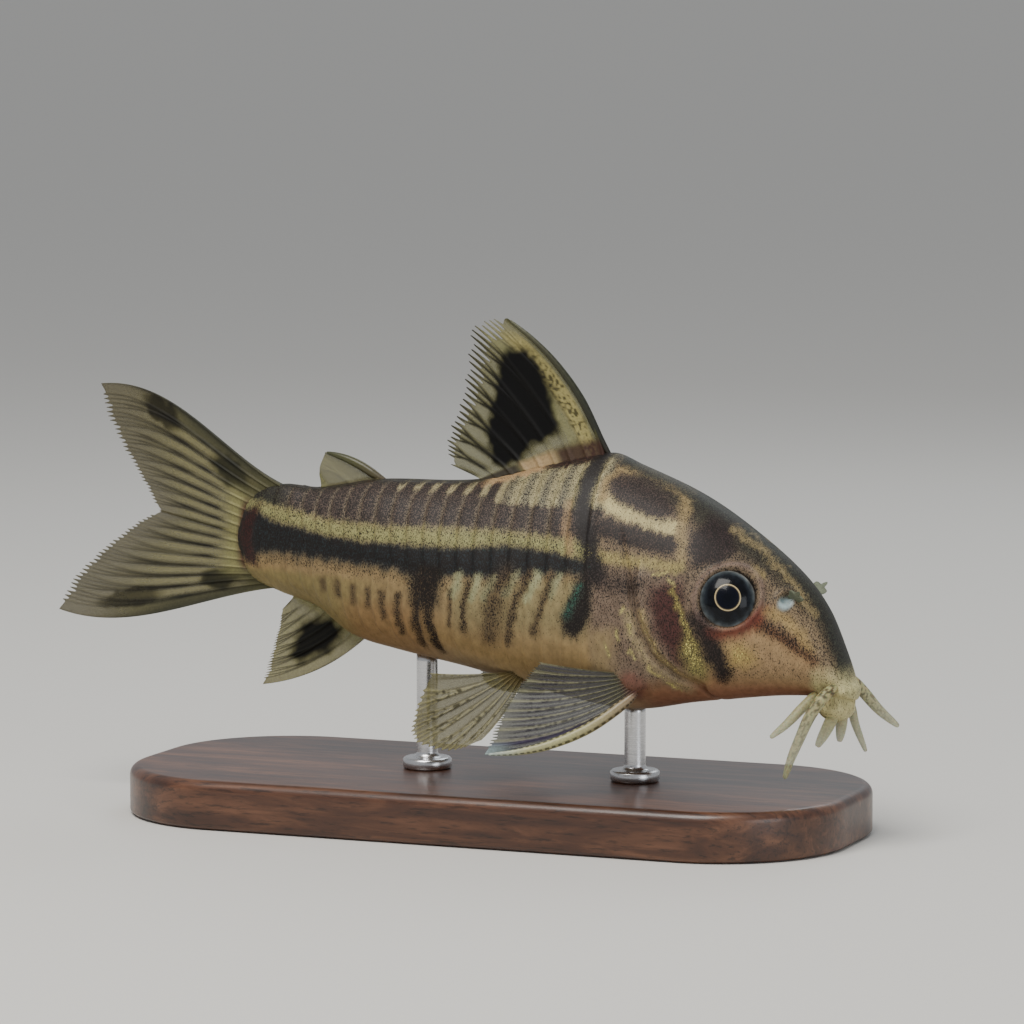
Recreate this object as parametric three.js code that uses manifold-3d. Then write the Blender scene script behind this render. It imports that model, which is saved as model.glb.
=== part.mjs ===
// A corydoras catfish, life size and still, held above a small base by two rods.
// Millimetres, Z up. X runs from tail to snout, and the fish's left side faces +Y.
// The origin is the centre of the base's underside.
import * as THREE from 'three';
import { mergeVertices } from 'three/addons/utils/BufferGeometryUtils.js';
import Module from 'manifold-3d';

const wasm = await Module();
wasm.setup();

// Gaps and thicknesses that all pieces share
const GAP = 0.3;
const WELD = 0.0001;
const MEMBRANE = 0.5;
const RAY = 0.8;
const FIN_TIP = 0.3;
const SPINE_TIP = 0.22;
const WEB_NOTCH = 0.05;

// The body's outline, as stations of [x, size] from tail to snout
const TAIL_END = -17.4;
const SNOUT_END = 23.5;
const BACK = [
  [TAIL_END, 17.3], [-16.6, 19.1], [-14.5, 20.1], [-11.8, 20.05], [-7.8, 20.7], [-1.1, 20.95],
  [4.1, 22.2], [7.6, 22.85], [9.3, 22.25], [13.2, 20.65], [16.4, 18.75], [19.7, 16.3],
  [21.4, 14.3], [22.5, 11.9], [23.2, 10.1], [SNOUT_END, 9.2],
];
const BELLY = [
  [TAIL_END, 16.1], [-16.6, 14.4], [-14.5, 13.45], [-11.8, 12.65], [-9.4, 11.05], [-6.4, 10.3],
  [-1.1, 9.4], [4.1, 8.3], [8.5, 7.6], [10.5, 7.65], [13.2, 8.15], [16.5, 8.6], [19.1, 8.9],
  [22, 9], [SNOUT_END, 8.9],
];
const HALF_WIDTH = [
  [TAIL_END, 0.25], [-16.6, 0.75], [-14, 1.5], [-10, 2.7], [-6, 3.6], [-1, 4.6], [4, 5.3],
  [8, 5.6], [11, 5.5], [14, 5], [16.4, 4.25], [18.4, 3.5], [20, 2.9], [21.5, 2.3], [22.6, 1.7],
  [23.2, 1.1], [SNOUT_END, 0.5],
];
// Height of the widest place, as a share of the depth
const WAIST = [[TAIL_END, 0.5], [-6, 0.48], [4, 0.4], [10, 0.32], [16, 0.4], [20, 0.4], [SNOUT_END, 0.5]];
// Squareness of the section: 2 is an ellipse, less is a ridge, more is a flat
const BACK_SQUARE = [[TAIL_END, 2], [-6, 1.85], [4, 1.65], [10, 1.75], [16, 1.9], [SNOUT_END, 2]];
const BELLY_SQUARE = [[TAIL_END, 2], [-6, 2.1], [4, 2.5], [12, 2.6], [18, 2.4], [SNOUT_END, 2]];
const BODY_RINGS = 32;
const BODY_SIDES = 24;

// The pose: the head turns to the right side, and the tail a little to the left
const HEAD_TURN_FROM = 8;
const HEAD_TURN = 0.0062;
const TAIL_TURN_FROM = -6;
const TAIL_TURN = 0.0024;

// Where the body is parted, as lines of [x, z] seen from the side
const GILL_LINE = [
  [8.7, 25], [9.2, 19.5], [10.4, 16], [11, 13.6], [12, 11.5], [13.4, 10.2], [14.8, 9.4], [15.2, 6],
];
const TAIL_LINE = [[-7, 24], [-7.5, 19], [-7.9, 16], [-7.5, 12], [-7, 7]];
const CUT_REACH = 9;

// Head
const EYE_AT = [16.4, 14.9];
const EYE_RADIUS = 1.8;
const EYE_BULGE = 1.05;
const EYE_SINK = 0.4;
const RIM_RADIUS = 2.15;
const RIM_THICK = 0.25;
const LIP_AT = [22.15, 0, 8.4];
const LIP_SIZE = [1.15, 1.45, 0.85];
const SNOUT_LIP_AT = [22.75, 0, 9.5];
const SNOUT_LIP_SIZE = [0.85, 1.5, 0.5];
const MOUTH_LINE = [[21.6, 9], [22.6, 8.95], [25, 8.8]];
const NOSTRIL_AT = [19.6, 14.9];
const NOSTRIL_RADIUS = 0.42;
const NOSTRIL_DEPTH = 0.5;
const FLAP_SIZE = [0.5, 0.28, 0.9];

// Flank plates: an upper and a lower row on each side, each plate bowed towards the tail
const PLATES_FROM = 8;
const PLATES_TO = -14.6;
const PLATE_ROWS = {
  upper: { count: 21, from: 0.34, to: 1.37 },
  lower: { count: 21, from: 1.45, to: 2.4 },
};
const PLATE_LIFT = 0.28;
const PLATE_FRONT_LIFT = 0.05;
const PLATE_SUNK = 0.45;
const PLATE_BOW = 0.45;
const PLATE_LAP = 0.25;
const PLATE_SHRINK = 0.25;
const PLATE_FOLDS = 3;
// The lower row ends higher where the paired fins are, as a share of its run
const LOWER_ROW_END = [[TAIL_END, 1], [-6, 0.95], [0, 0.8], [5, 0.55], [8, 0.4]];

// Gill cover: a plate in front of the gill line, as lines of [x, z] seen from the side
const COVER_REAR = [[10.9, 15.7], [11.4, 13.7], [12.4, 11.8], [13.7, 10.6], [15, 9.9]];
const COVER_FRONT = [[13.2, 15.6], [13.4, 14], [13.9, 12.7], [14.8, 11.6], [15.8, 10.8]];
const COVER_LIFT = 0.3;
const COVER_FOLDS = 8;

// Stand
const BASE_LENGTH = 46;
const BASE_WIDTH = 20;
const BASE_HEIGHT = 3;
const BASE_CORNER = 8;
const BASE_BEVEL = 0.6;
const ROD_AT = { front: 9, rear: -4.6 };
const ROD_RADIUS = 0.65;
const COLLAR_RADIUS = 1.5;
const COLLAR_HEIGHT = 0.7;
const FILLET_SHARE = 1.6;

// A smooth curve through stations of [place, size]
function profile(stations) {
  const last = stations.length - 1;
  const slopes = stations.map((station, i) => {
    const before = stations[Math.max(i - 1, 0)];
    const after = stations[Math.min(i + 1, last)];
    return (after[1] - before[1]) / (after[0] - before[0]);
  });
  return (place) => {
    const i = Math.min(Math.max(stations.findIndex((s) => s[0] > place) - 1, 0), last - 1);
    const start = place >= stations[last][0] ? last - 1 : i;
    const [x0, y0] = stations[start];
    const [x1, y1] = stations[start + 1];
    const span = x1 - x0;
    const t = THREE.MathUtils.clamp((place - x0) / span, 0, 1);
    const rise = t * t * (3 - 2 * t);
    const leave = t * (1 - t) * (1 - t) * span * slopes[start];
    const arrive = t * t * (t - 1) * span * slopes[start + 1];
    return y0 + (y1 - y0) * rise + leave + arrive;
  };
}

const backAt = profile(BACK);
const bellyAt = profile(BELLY);
const halfWidthAt = profile(HALF_WIDTH);
const waistAt = profile(WAIST);
const backSquareAt = profile(BACK_SQUARE);
const bellySquareAt = profile(BELLY_SQUARE);

// The body's section at x, grown outwards by grow
function section(x, grow) {
  const top = backAt(x);
  const bottom = bellyAt(x);
  const waist = bottom + (top - bottom) * waistAt(x);
  return {
    half: halfWidthAt(x) + grow,
    waist,
    up: { reach: top - waist + grow, power: 2 / backSquareAt(x) },
    down: { reach: waist - bottom + grow, power: 2 / bellySquareAt(x) },
  };
}

// A point of the skin: turn runs from 0 on the back through a quarter at the left side
function skinPoint(x, turn, grow = 0) {
  const shape = section(x, grow);
  const side = Math.sin(turn);
  const rise = Math.cos(turn);
  const part = rise >= 0 ? shape.up : shape.down;
  return new THREE.Vector3(
    x,
    shape.half * Math.sign(side) * Math.abs(side) ** part.power,
    shape.waist + part.reach * Math.sign(rise) * Math.abs(rise) ** part.power,
  );
}

// The skin's distance from the middle plane at a place seen from the side
function sideReach(x, z) {
  const shape = section(x, 0);
  const part = z >= shape.waist ? shape.up : shape.down;
  const share = Math.min(Math.abs(z - shape.waist) / part.reach, 1);
  return shape.half * (1 - share ** (2 / part.power)) ** (part.power / 2);
}

// A place on the skin seen from the side, with the direction straight out of it
function skinPlace(x, z, side) {
  const step = 0.05;
  const alongX = (sideReach(x + step, z) - sideReach(x - step, z)) / (2 * step);
  const alongZ = (sideReach(x, z + step) - sideReach(x, z - step)) / (2 * step);
  const point = new THREE.Vector3(x, side * sideReach(x, z), z);
  const out = new THREE.Vector3(-alongX, side, -alongZ).normalize();
  return { point, out };
}

// A template of the library, with each vertex moved to pointAt(u, v)
function reshape(template, pointAt) {
  const { position, uv } = template.attributes;
  for (let i = 0; i < position.count; i += 1) {
    const point = pointAt(uv.getX(i), uv.getY(i));
    position.setXYZ(i, point.x, point.y, point.z);
  }
  return template;
}

// A closed solid from a geometry, with its faces pointing out
function solid(geometry) {
  const bare = geometry.clone();
  bare.deleteAttribute('normal');
  bare.deleteAttribute('uv');
  const merged = mergeVertices(bare, WELD);
  const places = merged.attributes.position.array;
  const corners = Uint32Array.from(merged.index.array);
  const corner = (i) => new THREE.Vector3().fromArray(places, 3 * corners[i]);
  let volume = 0;
  for (let i = 0; i < corners.length; i += 3) {
    volume += corner(i).dot(corner(i + 1).cross(corner(i + 2)));
  }
  if (volume < 0) {
    corners.reverse();
  }
  return new wasm.Manifold(new wasm.Mesh({ numProp: 3, vertProperties: places, triVerts: corners }));
}

function join(solids) {
  return solids.reduce((whole, piece) => whole.add(piece));
}

function largest(whole) {
  return whole.decompose().reduce((best, piece) => (piece.volume() > best.volume() ? piece : best));
}

// A closed sheet: faces(i, j) gives its outer and inner point at each place of a grid,
// and both faces are split along the same diagonals
function sheet(columns, rows, faces) {
  const places = [];
  const corners = [];
  const stride = columns + 1;
  const count = stride * (rows + 1);
  for (const face of [0, 1]) {
    for (let j = 0; j <= rows; j += 1) {
      for (let i = 0; i <= columns; i += 1) {
        places.push(...faces(i, j)[face].toArray());
      }
    }
  }
  const wall = (a, b) => corners.push(a, b, b + count, a, b + count, a + count);
  for (let j = 0; j < rows; j += 1) {
    for (let i = 0; i < columns; i += 1) {
      const a = j * stride + i;
      const b = a + 1;
      const c = b + stride;
      const d = a + stride;
      corners.push(a, c, b, a, d, c);
      corners.push(a + count, b + count, c + count, a + count, c + count, d + count);
    }
  }
  for (let i = 0; i < columns; i += 1) {
    wall(i, i + 1);
    wall(rows * stride + i + 1, rows * stride + i);
  }
  for (let j = 0; j < rows; j += 1) {
    wall((j + 1) * stride, j * stride);
    wall(j * stride + columns, (j + 1) * stride + columns);
  }
  const geometry = new THREE.BufferGeometry();
  geometry.setAttribute('position', new THREE.Float32BufferAttribute(places, 3));
  geometry.setIndex(corners);
  return solid(geometry);
}

// A round tapering piece along a curve, with closed ends
function taper(points, startRadius, endRadius, across, steps = 8, sides = 8) {
  const curve = new THREE.CatmullRomCurve3(points.map((p) => new THREE.Vector3(...p)));
  const endSoftness = 0.35;
  return solid(reshape(new THREE.SphereGeometry(1, sides, steps), (u, v) => {
    const centre = curve.getPoint(v);
    const tangent = curve.getTangent(v);
    const first = new THREE.Vector3().crossVectors(tangent, across).normalize();
    const second = new THREE.Vector3().crossVectors(tangent, first);
    const closing = Math.sin(Math.PI * v) ** endSoftness;
    const radius = THREE.MathUtils.lerp(startRadius, endRadius, v) * closing;
    const turn = 2 * Math.PI * u;
    return centre
      .addScaledVector(first, radius * Math.cos(turn))
      .addScaledVector(second, radius * Math.sin(turn));
  }));
}

function ball(centre, size, sides = 16) {
  const geometry = new THREE.SphereGeometry(1, sides, sides / 2);
  geometry.scale(...size);
  geometry.translate(...centre);
  return solid(geometry);
}

// A ball whose third size points out of the skin at a place seen from the side
function seatedBall(at, side, size, lift, sides = 16) {
  const { point, out } = skinPlace(...at, side);
  const geometry = new THREE.SphereGeometry(1, sides, sides / 2);
  geometry.scale(...size);
  geometry.applyQuaternion(new THREE.Quaternion().setFromUnitVectors(new THREE.Vector3(0, 0, 1), out));
  const seat = point.addScaledVector(out, lift);
  geometry.translate(seat.x, seat.y, seat.z);
  return solid(geometry);
}

// A thin wall through the body, along a line seen from the side
function slit(line, width) {
  const points = line.map((p) => new THREE.Vector2(...p));
  const offset = (sign) => points.map((point, i) => {
    const before = points[Math.max(i - 1, 0)];
    const after = points[Math.min(i + 1, points.length - 1)];
    const along = after.clone().sub(before).normalize();
    return new THREE.Vector2(point.x - along.y * sign * width / 2, point.y + along.x * sign * width / 2);
  });
  const outline = new THREE.Shape([...offset(1), ...offset(-1).reverse()]);
  const geometry = new THREE.ExtrudeGeometry(outline, { depth: 2 * CUT_REACH, bevelEnabled: false });
  geometry.rotateX(Math.PI / 2);
  geometry.translate(0, CUT_REACH, 0);
  return solid(geometry);
}

// The piece of the body on one side of a line, from the line out to far
function beyond(line, far) {
  const outline = new THREE.Shape([...line, [far, line.at(-1)[1]], [far, line[0][1]]]
    .map((p) => new THREE.Vector2(...p)));
  const geometry = new THREE.ExtrudeGeometry(outline, { depth: 2 * CUT_REACH, bevelEnabled: false });
  geometry.rotateX(Math.PI / 2);
  geometry.translate(0, CUT_REACH, 0);
  return solid(geometry);
}

// The whole skin, grown outwards by grow
function bodySkin(grow) {
  const length = SNOUT_END - TAIL_END + 2 * grow;
  const evenShare = 0.4;
  return solid(reshape(new THREE.SphereGeometry(1, BODY_SIDES, BODY_RINGS), (u, v) => {
    const eased = (1 - Math.cos(Math.PI * v)) / 2;
    const x = TAIL_END - grow + length * (evenShare * v + (1 - evenShare) * eased);
    const inner = THREE.MathUtils.clamp(x, TAIL_END, SNOUT_END);
    if (v === 0 || v === 1) {
      return skinPoint(inner, Math.PI / 2, grow).setY(0).setX(x);
    }
    return skinPoint(inner, 2 * Math.PI * u, grow).setX(x);
  }));
}

// The body bends in plan after it is built straight
function bend(x) {
  const ahead = Math.max(x - HEAD_TURN_FROM, 0);
  const behind = Math.max(TAIL_TURN_FROM - x, 0);
  return TAIL_TURN * behind ** 2 - HEAD_TURN * ahead ** 2;
}

const fish = new THREE.Group();

function addMesh(name, whole, material, bent = true) {
  const { vertProperties, triVerts } = largest(whole).getMesh();
  const places = Float32Array.from(vertProperties);
  for (let i = 0; bent && i < places.length; i += 3) {
    places[i + 1] += bend(places[i]);
  }
  const geometry = new THREE.BufferGeometry();
  geometry.setAttribute('position', new THREE.BufferAttribute(places, 3));
  geometry.setIndex(Array.from(triVerts));
  geometry.computeVertexNormals();
  const mesh = new THREE.Mesh(geometry, material);
  mesh.name = name;
  fish.add(mesh);
}

const skinMaterial = () => new THREE.MeshStandardMaterial({ color: 0x8a7658, roughness: 0.45 });
const finMaterial = () => new THREE.MeshStandardMaterial({ color: 0xb0ab8a, roughness: 0.4 });
const barbelMaterial = () => new THREE.MeshStandardMaterial({ color: 0xb5aa84, roughness: 0.5 });
const eyeMaterial = () => new THREE.MeshStandardMaterial({ color: 0x10151f, roughness: 0.1 });
const woodMaterial = () => new THREE.MeshStandardMaterial({ color: 0x4a3020, roughness: 0.5 });
const steelMaterial = () => new THREE.MeshStandardMaterial({
  color: 0xb8babd,
  roughness: 0.3,
  metalness: 1,
});

// Flank plates
function skinOut(x, turn) {
  const step = 0.02;
  const alongX = skinPoint(x + step, turn).sub(skinPoint(x - step, turn));
  const alongTurn = skinPoint(x, turn + step).sub(skinPoint(x, turn - step));
  const out = new THREE.Vector3().crossVectors(alongTurn, alongX).normalize();
  return out.y * Math.sin(turn) + out.z * Math.cos(turn) < 0 ? out.negate() : out;
}

function plate(x, pitch, from, to, side) {
  return sheet(1, PLATE_FOLDS, (i, j) => {
    const share = j / PLATE_FOLDS;
    const turn = side * THREE.MathUtils.lerp(from, to, share);
    const bow = PLATE_BOW * (1 - (2 * share - 1) ** 2);
    const front = i === 1;
    const at = x - bow + (front ? PLATE_LAP : -pitch);
    const out = skinOut(at, turn);
    const point = skinPoint(at, turn);
    const lift = front ? PLATE_FRONT_LIFT : PLATE_LIFT;
    return [point.clone().addScaledVector(out, lift), point.addScaledVector(out, -PLATE_SUNK)];
  });
}

const lowerRowEndAt = profile(LOWER_ROW_END);

function flankPlates() {
  const plates = [];
  for (const side of [1, -1]) {
    for (const [row, { count, from, to }] of Object.entries(PLATE_ROWS)) {
      const evenPitch = (PLATES_FROM - PLATES_TO) / count;
      let x = PLATES_FROM;
      for (let i = 0; i < count; i += 1) {
        const pitch = evenPitch * (1 + PLATE_SHRINK * (0.5 - (i + 0.5) / count));
        const share = row === 'lower' ? lowerRowEndAt(x) : 1;
        plates.push(plate(x, pitch, from, THREE.MathUtils.lerp(from, to, share), side));
        x -= pitch;
      }
    }
  }
  return plates;
}

// Head: sockets, rims, lips, mouth and nostrils on the skin
function eyeBall(side, grow) {
  const size = [EYE_RADIUS + grow, EYE_RADIUS + grow, EYE_BULGE + grow];
  return seatedBall(EYE_AT, side, size, -EYE_SINK, 16);
}

// A soft ring that follows the skin round the eye
function eyeRim(side) {
  return solid(reshape(new THREE.TorusGeometry(1, 0.5, 5, 20), (u, v) => {
    const turn = 2 * Math.PI * u;
    const roll = 2 * Math.PI * v;
    const radius = RIM_RADIUS + RIM_THICK * Math.cos(roll);
    const place = skinPlace(
      EYE_AT[0] + radius * Math.cos(turn),
      EYE_AT[1] + radius * Math.sin(turn),
      side,
    );
    return place.point.addScaledVector(place.out, RIM_THICK * Math.sin(roll));
  }));
}

// The gill cover's plate, raised most along its rear edge
function gillCover(side) {
  const curve = (line) => new THREE.CatmullRomCurve3(line.map(([x, z]) => new THREE.Vector3(x, 0, z)));
  const edges = [curve(COVER_REAR), curve(COVER_FRONT)];
  return sheet(2, COVER_FOLDS, (i, j) => {
    const rear = edges[0].getPoint(j / COVER_FOLDS);
    const spot = rear.lerp(edges[1].getPoint(j / COVER_FOLDS), i / 2);
    const { point, out } = skinPlace(spot.x, spot.z, side);
    const lift = THREE.MathUtils.lerp(COVER_LIFT, PLATE_FRONT_LIFT, i / 2);
    return [point.clone().addScaledVector(out, lift), point.addScaledVector(out, -PLATE_SUNK)];
  });
}

function nostrilFlap(side) {
  return seatedBall([NOSTRIL_AT[0] + NOSTRIL_RADIUS, NOSTRIL_AT[1]], side, FLAP_SIZE, 0, 8);
}

const lips = join([ball(LIP_AT, LIP_SIZE, 12), ball(SNOUT_LIP_AT, SNOUT_LIP_SIZE, 12)]);
const lipRoom = join([
  ball(LIP_AT, LIP_SIZE.map((size) => size + GAP), 12),
  ball(SNOUT_LIP_AT, SNOUT_LIP_SIZE.map((size) => size + GAP), 12),
]);
const room = bodySkin(GAP).add(lipRoom);

function dressedBody() {
  let dressed = bodySkin(0).add(lips);
  for (const side of [1, -1]) {
    dressed = join([dressed, eyeRim(side), nostrilFlap(side), gillCover(side)]);
    dressed = dressed.subtract(eyeBall(side, GAP));
    const pit = [NOSTRIL_DEPTH, NOSTRIL_RADIUS, NOSTRIL_RADIUS];
    dressed = dressed.subtract(seatedBall(NOSTRIL_AT, side, pit, 0, 8));
  }
  return join([dressed, ...flankPlates()]).subtract(slit(MOUTH_LINE, GAP));
}

const body = dressedBody();
const aheadOfGill = beyond(GILL_LINE, 40);
const aheadOfTail = beyond(TAIL_LINE, 40);
const gillSlit = slit(GILL_LINE, GAP);
const tailSlit = slit(TAIL_LINE, GAP);
addMesh('head', body.intersect(aheadOfGill).subtract(gillSlit), skinMaterial());
const trunk = body.intersect(aheadOfTail).subtract(aheadOfGill);
addMesh('trunk', trunk.subtract(gillSlit).subtract(tailSlit), skinMaterial());
addMesh('tail', body.subtract(aheadOfTail).subtract(tailSlit), skinMaterial());
for (const [name, side] of [['left', 1], ['right', -1]]) {
  addMesh(`eye_${name}`, eyeBall(side, 0), eyeMaterial());
}

// Rises from 0 to 1 at the peak and falls back to 0 at the end
function arch(share, peak) {
  const power = peak / (1 - peak);
  return (share / peak) ** power * (1 - share) / (1 - peak);
}

// How fast a fin's thick root thins out along its rays
const SWELL_FADE = 9;
const SPINE_STATIONS = [0.1, 0.35, 0.6, 0.8, 0.96];

// A fin: rays fan from the base curve to the margin curve, raised on both faces of the membrane
function fin({ base, margin, rays, rows, sunk, bow, bowPeak = 0.5, curl = 0, swell = 0, spine = 0 }) {
  const baseCurve = new THREE.CatmullRomCurve3(base.map((p) => new THREE.Vector3(...p)));
  const marginCurve = new THREE.CatmullRomCurve3(margin.map((p) => new THREE.Vector3(...p)));
  const columns = 2 * (rays - 1);
  const spread = baseCurve.getPoint(1).sub(baseCurve.getPoint(0));
  const reach = marginCurve.getPoint(0.4).sub(baseCurve.getPoint(0.5));
  const across = new THREE.Vector3().crossVectors(spread, reach).normalize();
  const middle = (u, v) => {
    const foot = baseCurve.getPoint(u);
    const chord = marginCurve.getPoint(u).sub(foot);
    const forward = new THREE.Vector3().crossVectors(across, chord);
    const open = Math.max(v, 0);
    const bulge = arch(open, bowPeak) * THREE.MathUtils.lerp(bow[0], bow[1], u);
    return foot
      .addScaledVector(chord, v)
      .addScaledVector(forward, bulge)
      .addScaledVector(across, curl * open * open);
  };
  const faces = (i, j) => {
    const onRay = i % 2 === 0;
    const raw = -sunk + (1 + sunk) * j / rows;
    const v = onRay ? raw : raw * (1 - WEB_NOTCH * Math.max(raw, 0));
    const point = middle(i / columns, v);
    const open = Math.max(v, 0);
    const full = onRay ? RAY : MEMBRANE;
    const thick = THREE.MathUtils.lerp(full, FIN_TIP, open ** 3) + swell * Math.exp(-SWELL_FADE * open);
    return [
      point.clone().addScaledVector(across, thick / 2),
      point.clone().addScaledVector(across, -thick / 2),
    ];
  };
  const web = sheet(columns, rows, faces);
  if (!spine) {
    return web;
  }
  const line = [-sunk, ...SPINE_STATIONS].map((v) => middle(0, v).toArray());
  return web.add(taper(line, spine, SPINE_TIP, across, 7, 6));
}

// Dorsal fin: one stout spine and eight rays
const dorsal = fin({
  base: [[7.1, 0, 22.7], [3, 0, 21.9], [-0.8, 0, 20.9]],
  margin: [
    [0.7, 0, 30.75], [-1.3, 0, 30.6], [-1.9, 0, 28.9], [-2.1, 0, 26.8],
    [-2.8, 0, 24.9], [-3.3, 0, 23.2], [-3.1, 0, 21.8],
  ],
  rays: 9,
  rows: 6,
  sunk: 0.12,
  bow: [0.085, 0],
  swell: 0.5,
  spine: 0.55,
});
addMesh('dorsal_fin', dorsal.subtract(room), finMaterial());

// Adipose fin: a short spine with a low membrane behind it
const adipose = fin({
  base: [[-7.7, 0, 20.7], [-11.6, 0, 20.1]],
  margin: [[-11.4, 0, 22.2], [-11.7, 0, 21.5], [-11.8, 0, 20.9]],
  rays: 3,
  rows: 4,
  sunk: 0.2,
  bow: [0.06, 0],
  spine: 0.42,
});
addMesh('adipose_fin', adipose.subtract(room), finMaterial());

// Anal fin
const anal = fin({
  base: [[-8.6, 0, 11], [-11, 0, 12.2], [-13.5, 0, 13.2]],
  margin: [[-15.9, 0, 7.55], [-15.5, 0, 8.7], [-15.1, 0, 9.9], [-14.7, 0, 11.1], [-14.4, 0, 12.3]],
  rays: 7,
  rows: 5,
  sunk: 0.2,
  bow: [0.08, 0],
});
addMesh('anal_fin', anal.subtract(room), finMaterial());

// Caudal fin: two lobes that part along a line from the base to the fork
const FORK_BASE = [-17, 16.85];
const FORK_NOTCH = [-23.1, 18.1];
const LOBE_BOW_PEAK = 2 / 3;
const upperLobe = fin({
  base: [[-14.3, 0, 20], [-16.3, 0, 18.8], [-17, 0, FORK_BASE[1] + GAP / 2]],
  margin: [
    [-27.7, 0, 25.85], [-26.9, 0, 23.7], [-25.6, 0, 21.6], [-24.3, 0, 19.8],
    [FORK_NOTCH[0], 0, FORK_NOTCH[1] + GAP / 2],
  ],
  rays: 9,
  rows: 6,
  sunk: 0.12,
  bow: [0.09, 0],
  bowPeak: LOBE_BOW_PEAK,
  curl: 0.4,
});
addMesh('caudal_fin_upper', upperLobe.subtract(room), finMaterial());
const lowerLobe = fin({
  base: [[-14.6, 0, 13.7], [-16.4, 0, 14.8], [-17, 0, FORK_BASE[1] - GAP / 2]],
  margin: [
    [-31, 0, 11.45], [-29.6, 0, 13.5], [-27.6, 0, 15.3], [-25.4, 0, 16.9],
    [FORK_NOTCH[0], 0, FORK_NOTCH[1] - GAP / 2],
  ],
  rays: 9,
  rows: 6,
  sunk: 0.12,
  bow: [0.06, 0],
  bowPeak: LOBE_BOW_PEAK,
  curl: -0.4,
});
addMesh('caudal_fin_lower', lowerLobe.subtract(room), finMaterial());

// Paired fins: the right ones hang open, and the left ones lie more level
const PECTORAL = {
  right: {
    base: [[11, -5, 9.2], [10.3, -4.9, 10.2]],
    margin: [[3.3, -10, 5.7], [3.7, -9.4, 7.3], [4, -8.9, 8.5], [4.8, -8, 9.8], [5.6, -7.4, 11]],
  },
  left: {
    base: [[11, 5, 9.5], [10.1, 4.9, 10.2]],
    margin: [[3.6, 10.6, 8.6], [3.4, 9.6, 9.2], [3.6, 8.8, 9.8], [4.3, 7.8, 10.4], [5.4, 7.3, 11]],
  },
};
const PELVIC = {
  right: {
    base: [[2.9, -3.2, 9.1], [1.9, -3.6, 9.7]],
    margin: [[1.2, -5.4, 5.8], [-0.6, -5.8, 5.1], [-2.9, -6, 5.6], [-3.1, -5.6, 7.2], [-2.4, -4.9, 9.6]],
  },
  left: {
    base: [[2.9, 3.2, 9.1], [1.9, 3.6, 9.7]],
    margin: [[0.4, 6.2, 7], [-1.4, 6.6, 6.9], [-3.4, 6.7, 7.3], [-3.6, 6.2, 8.2], [-2.8, 5.4, 9.6]],
  },
};
for (const [name, shape] of Object.entries(PECTORAL)) {
  const pectoral = fin({ ...shape, rays: 10, rows: 6, sunk: 0.2, bow: [0.1, 0.02], spine: 0.48 });
  addMesh(`pectoral_fin_${name}`, pectoral.subtract(room), finMaterial());
}
for (const [name, shape] of Object.entries(PELVIC)) {
  const pelvic = fin({ ...shape, rays: 7, rows: 5, sunk: 0.2, bow: [0.05, 0.02] });
  addMesh(`pelvic_fin_${name}`, pelvic.subtract(room), finMaterial());
}

// Barbels: three pairs at the mouth, longest at its corners
const BARBELS = {
  maxillary_right: {
    path: [
      [22.6, -1.3, 9.9], [22, -2.5, 9.1], [21.4, -2.9, 8.1],
      [20.9, -3, 7], [20.3, -3.1, 5.6], [19.9, -3.2, 4.35],
    ],
    radius: 0.36,
  },
  maxillary_left: {
    path: [[22.7, 1.2, 10], [23.3, 2.3, 8.9], [23.9, 3.2, 7.9], [24.7, 4.6, 6.8]],
    radius: 0.36,
  },
  rictal_right: {
    path: [[21.3, -1.3, 9.3], [20.6, -2.3, 8.4], [19.95, -3, 7.6], [19.1, -3.6, 6.8]],
    radius: 0.3,
  },
  rictal_left: {
    path: [[21.9, 1.2, 9.3], [22.3, 2.2, 8.2], [22.6, 2.4, 7], [23.2, 2.7, 5.4]],
    radius: 0.3,
  },
  mental_right: { path: [[22.4, -0.7, 8.4], [21.9, -1.05, 7.2], [21.3, -1.2, 6.1]], radius: 0.38 },
  mental_left: { path: [[22.3, 0.7, 8.4], [22.15, 0.95, 7.2], [22, 1.05, 6.15]], radius: 0.38 },
};
const BARBEL_TIP = 0.18;
const AHEAD = new THREE.Vector3(1, 0, 0);
for (const [name, { path, radius }] of Object.entries(BARBELS)) {
  const barbel = taper(path, radius, BARBEL_TIP, AHEAD, 9, 8);
  addMesh(`barbel_${name}`, barbel.subtract(room), barbelMaterial());
}

// Stand: a bevelled base with round corners, and two collared rods that end under the belly
function standBase() {
  const x = BASE_LENGTH / 2 - BASE_BEVEL;
  const y = BASE_WIDTH / 2 - BASE_BEVEL;
  const outline = new THREE.Shape();
  outline.absarc(x - BASE_CORNER, y - BASE_CORNER, BASE_CORNER, 0, Math.PI / 2);
  outline.absarc(BASE_CORNER - x, y - BASE_CORNER, BASE_CORNER, Math.PI / 2, Math.PI);
  outline.absarc(BASE_CORNER - x, BASE_CORNER - y, BASE_CORNER, Math.PI, 1.5 * Math.PI);
  outline.absarc(x - BASE_CORNER, BASE_CORNER - y, BASE_CORNER, 1.5 * Math.PI, 2 * Math.PI);
  const geometry = new THREE.ExtrudeGeometry(outline, {
    depth: BASE_HEIGHT - 2 * BASE_BEVEL,
    bevelThickness: BASE_BEVEL,
    bevelSize: BASE_BEVEL,
    bevelSegments: 1,
    curveSegments: 5,
  });
  geometry.translate(0, 0, BASE_BEVEL);
  return solid(geometry);
}

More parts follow.
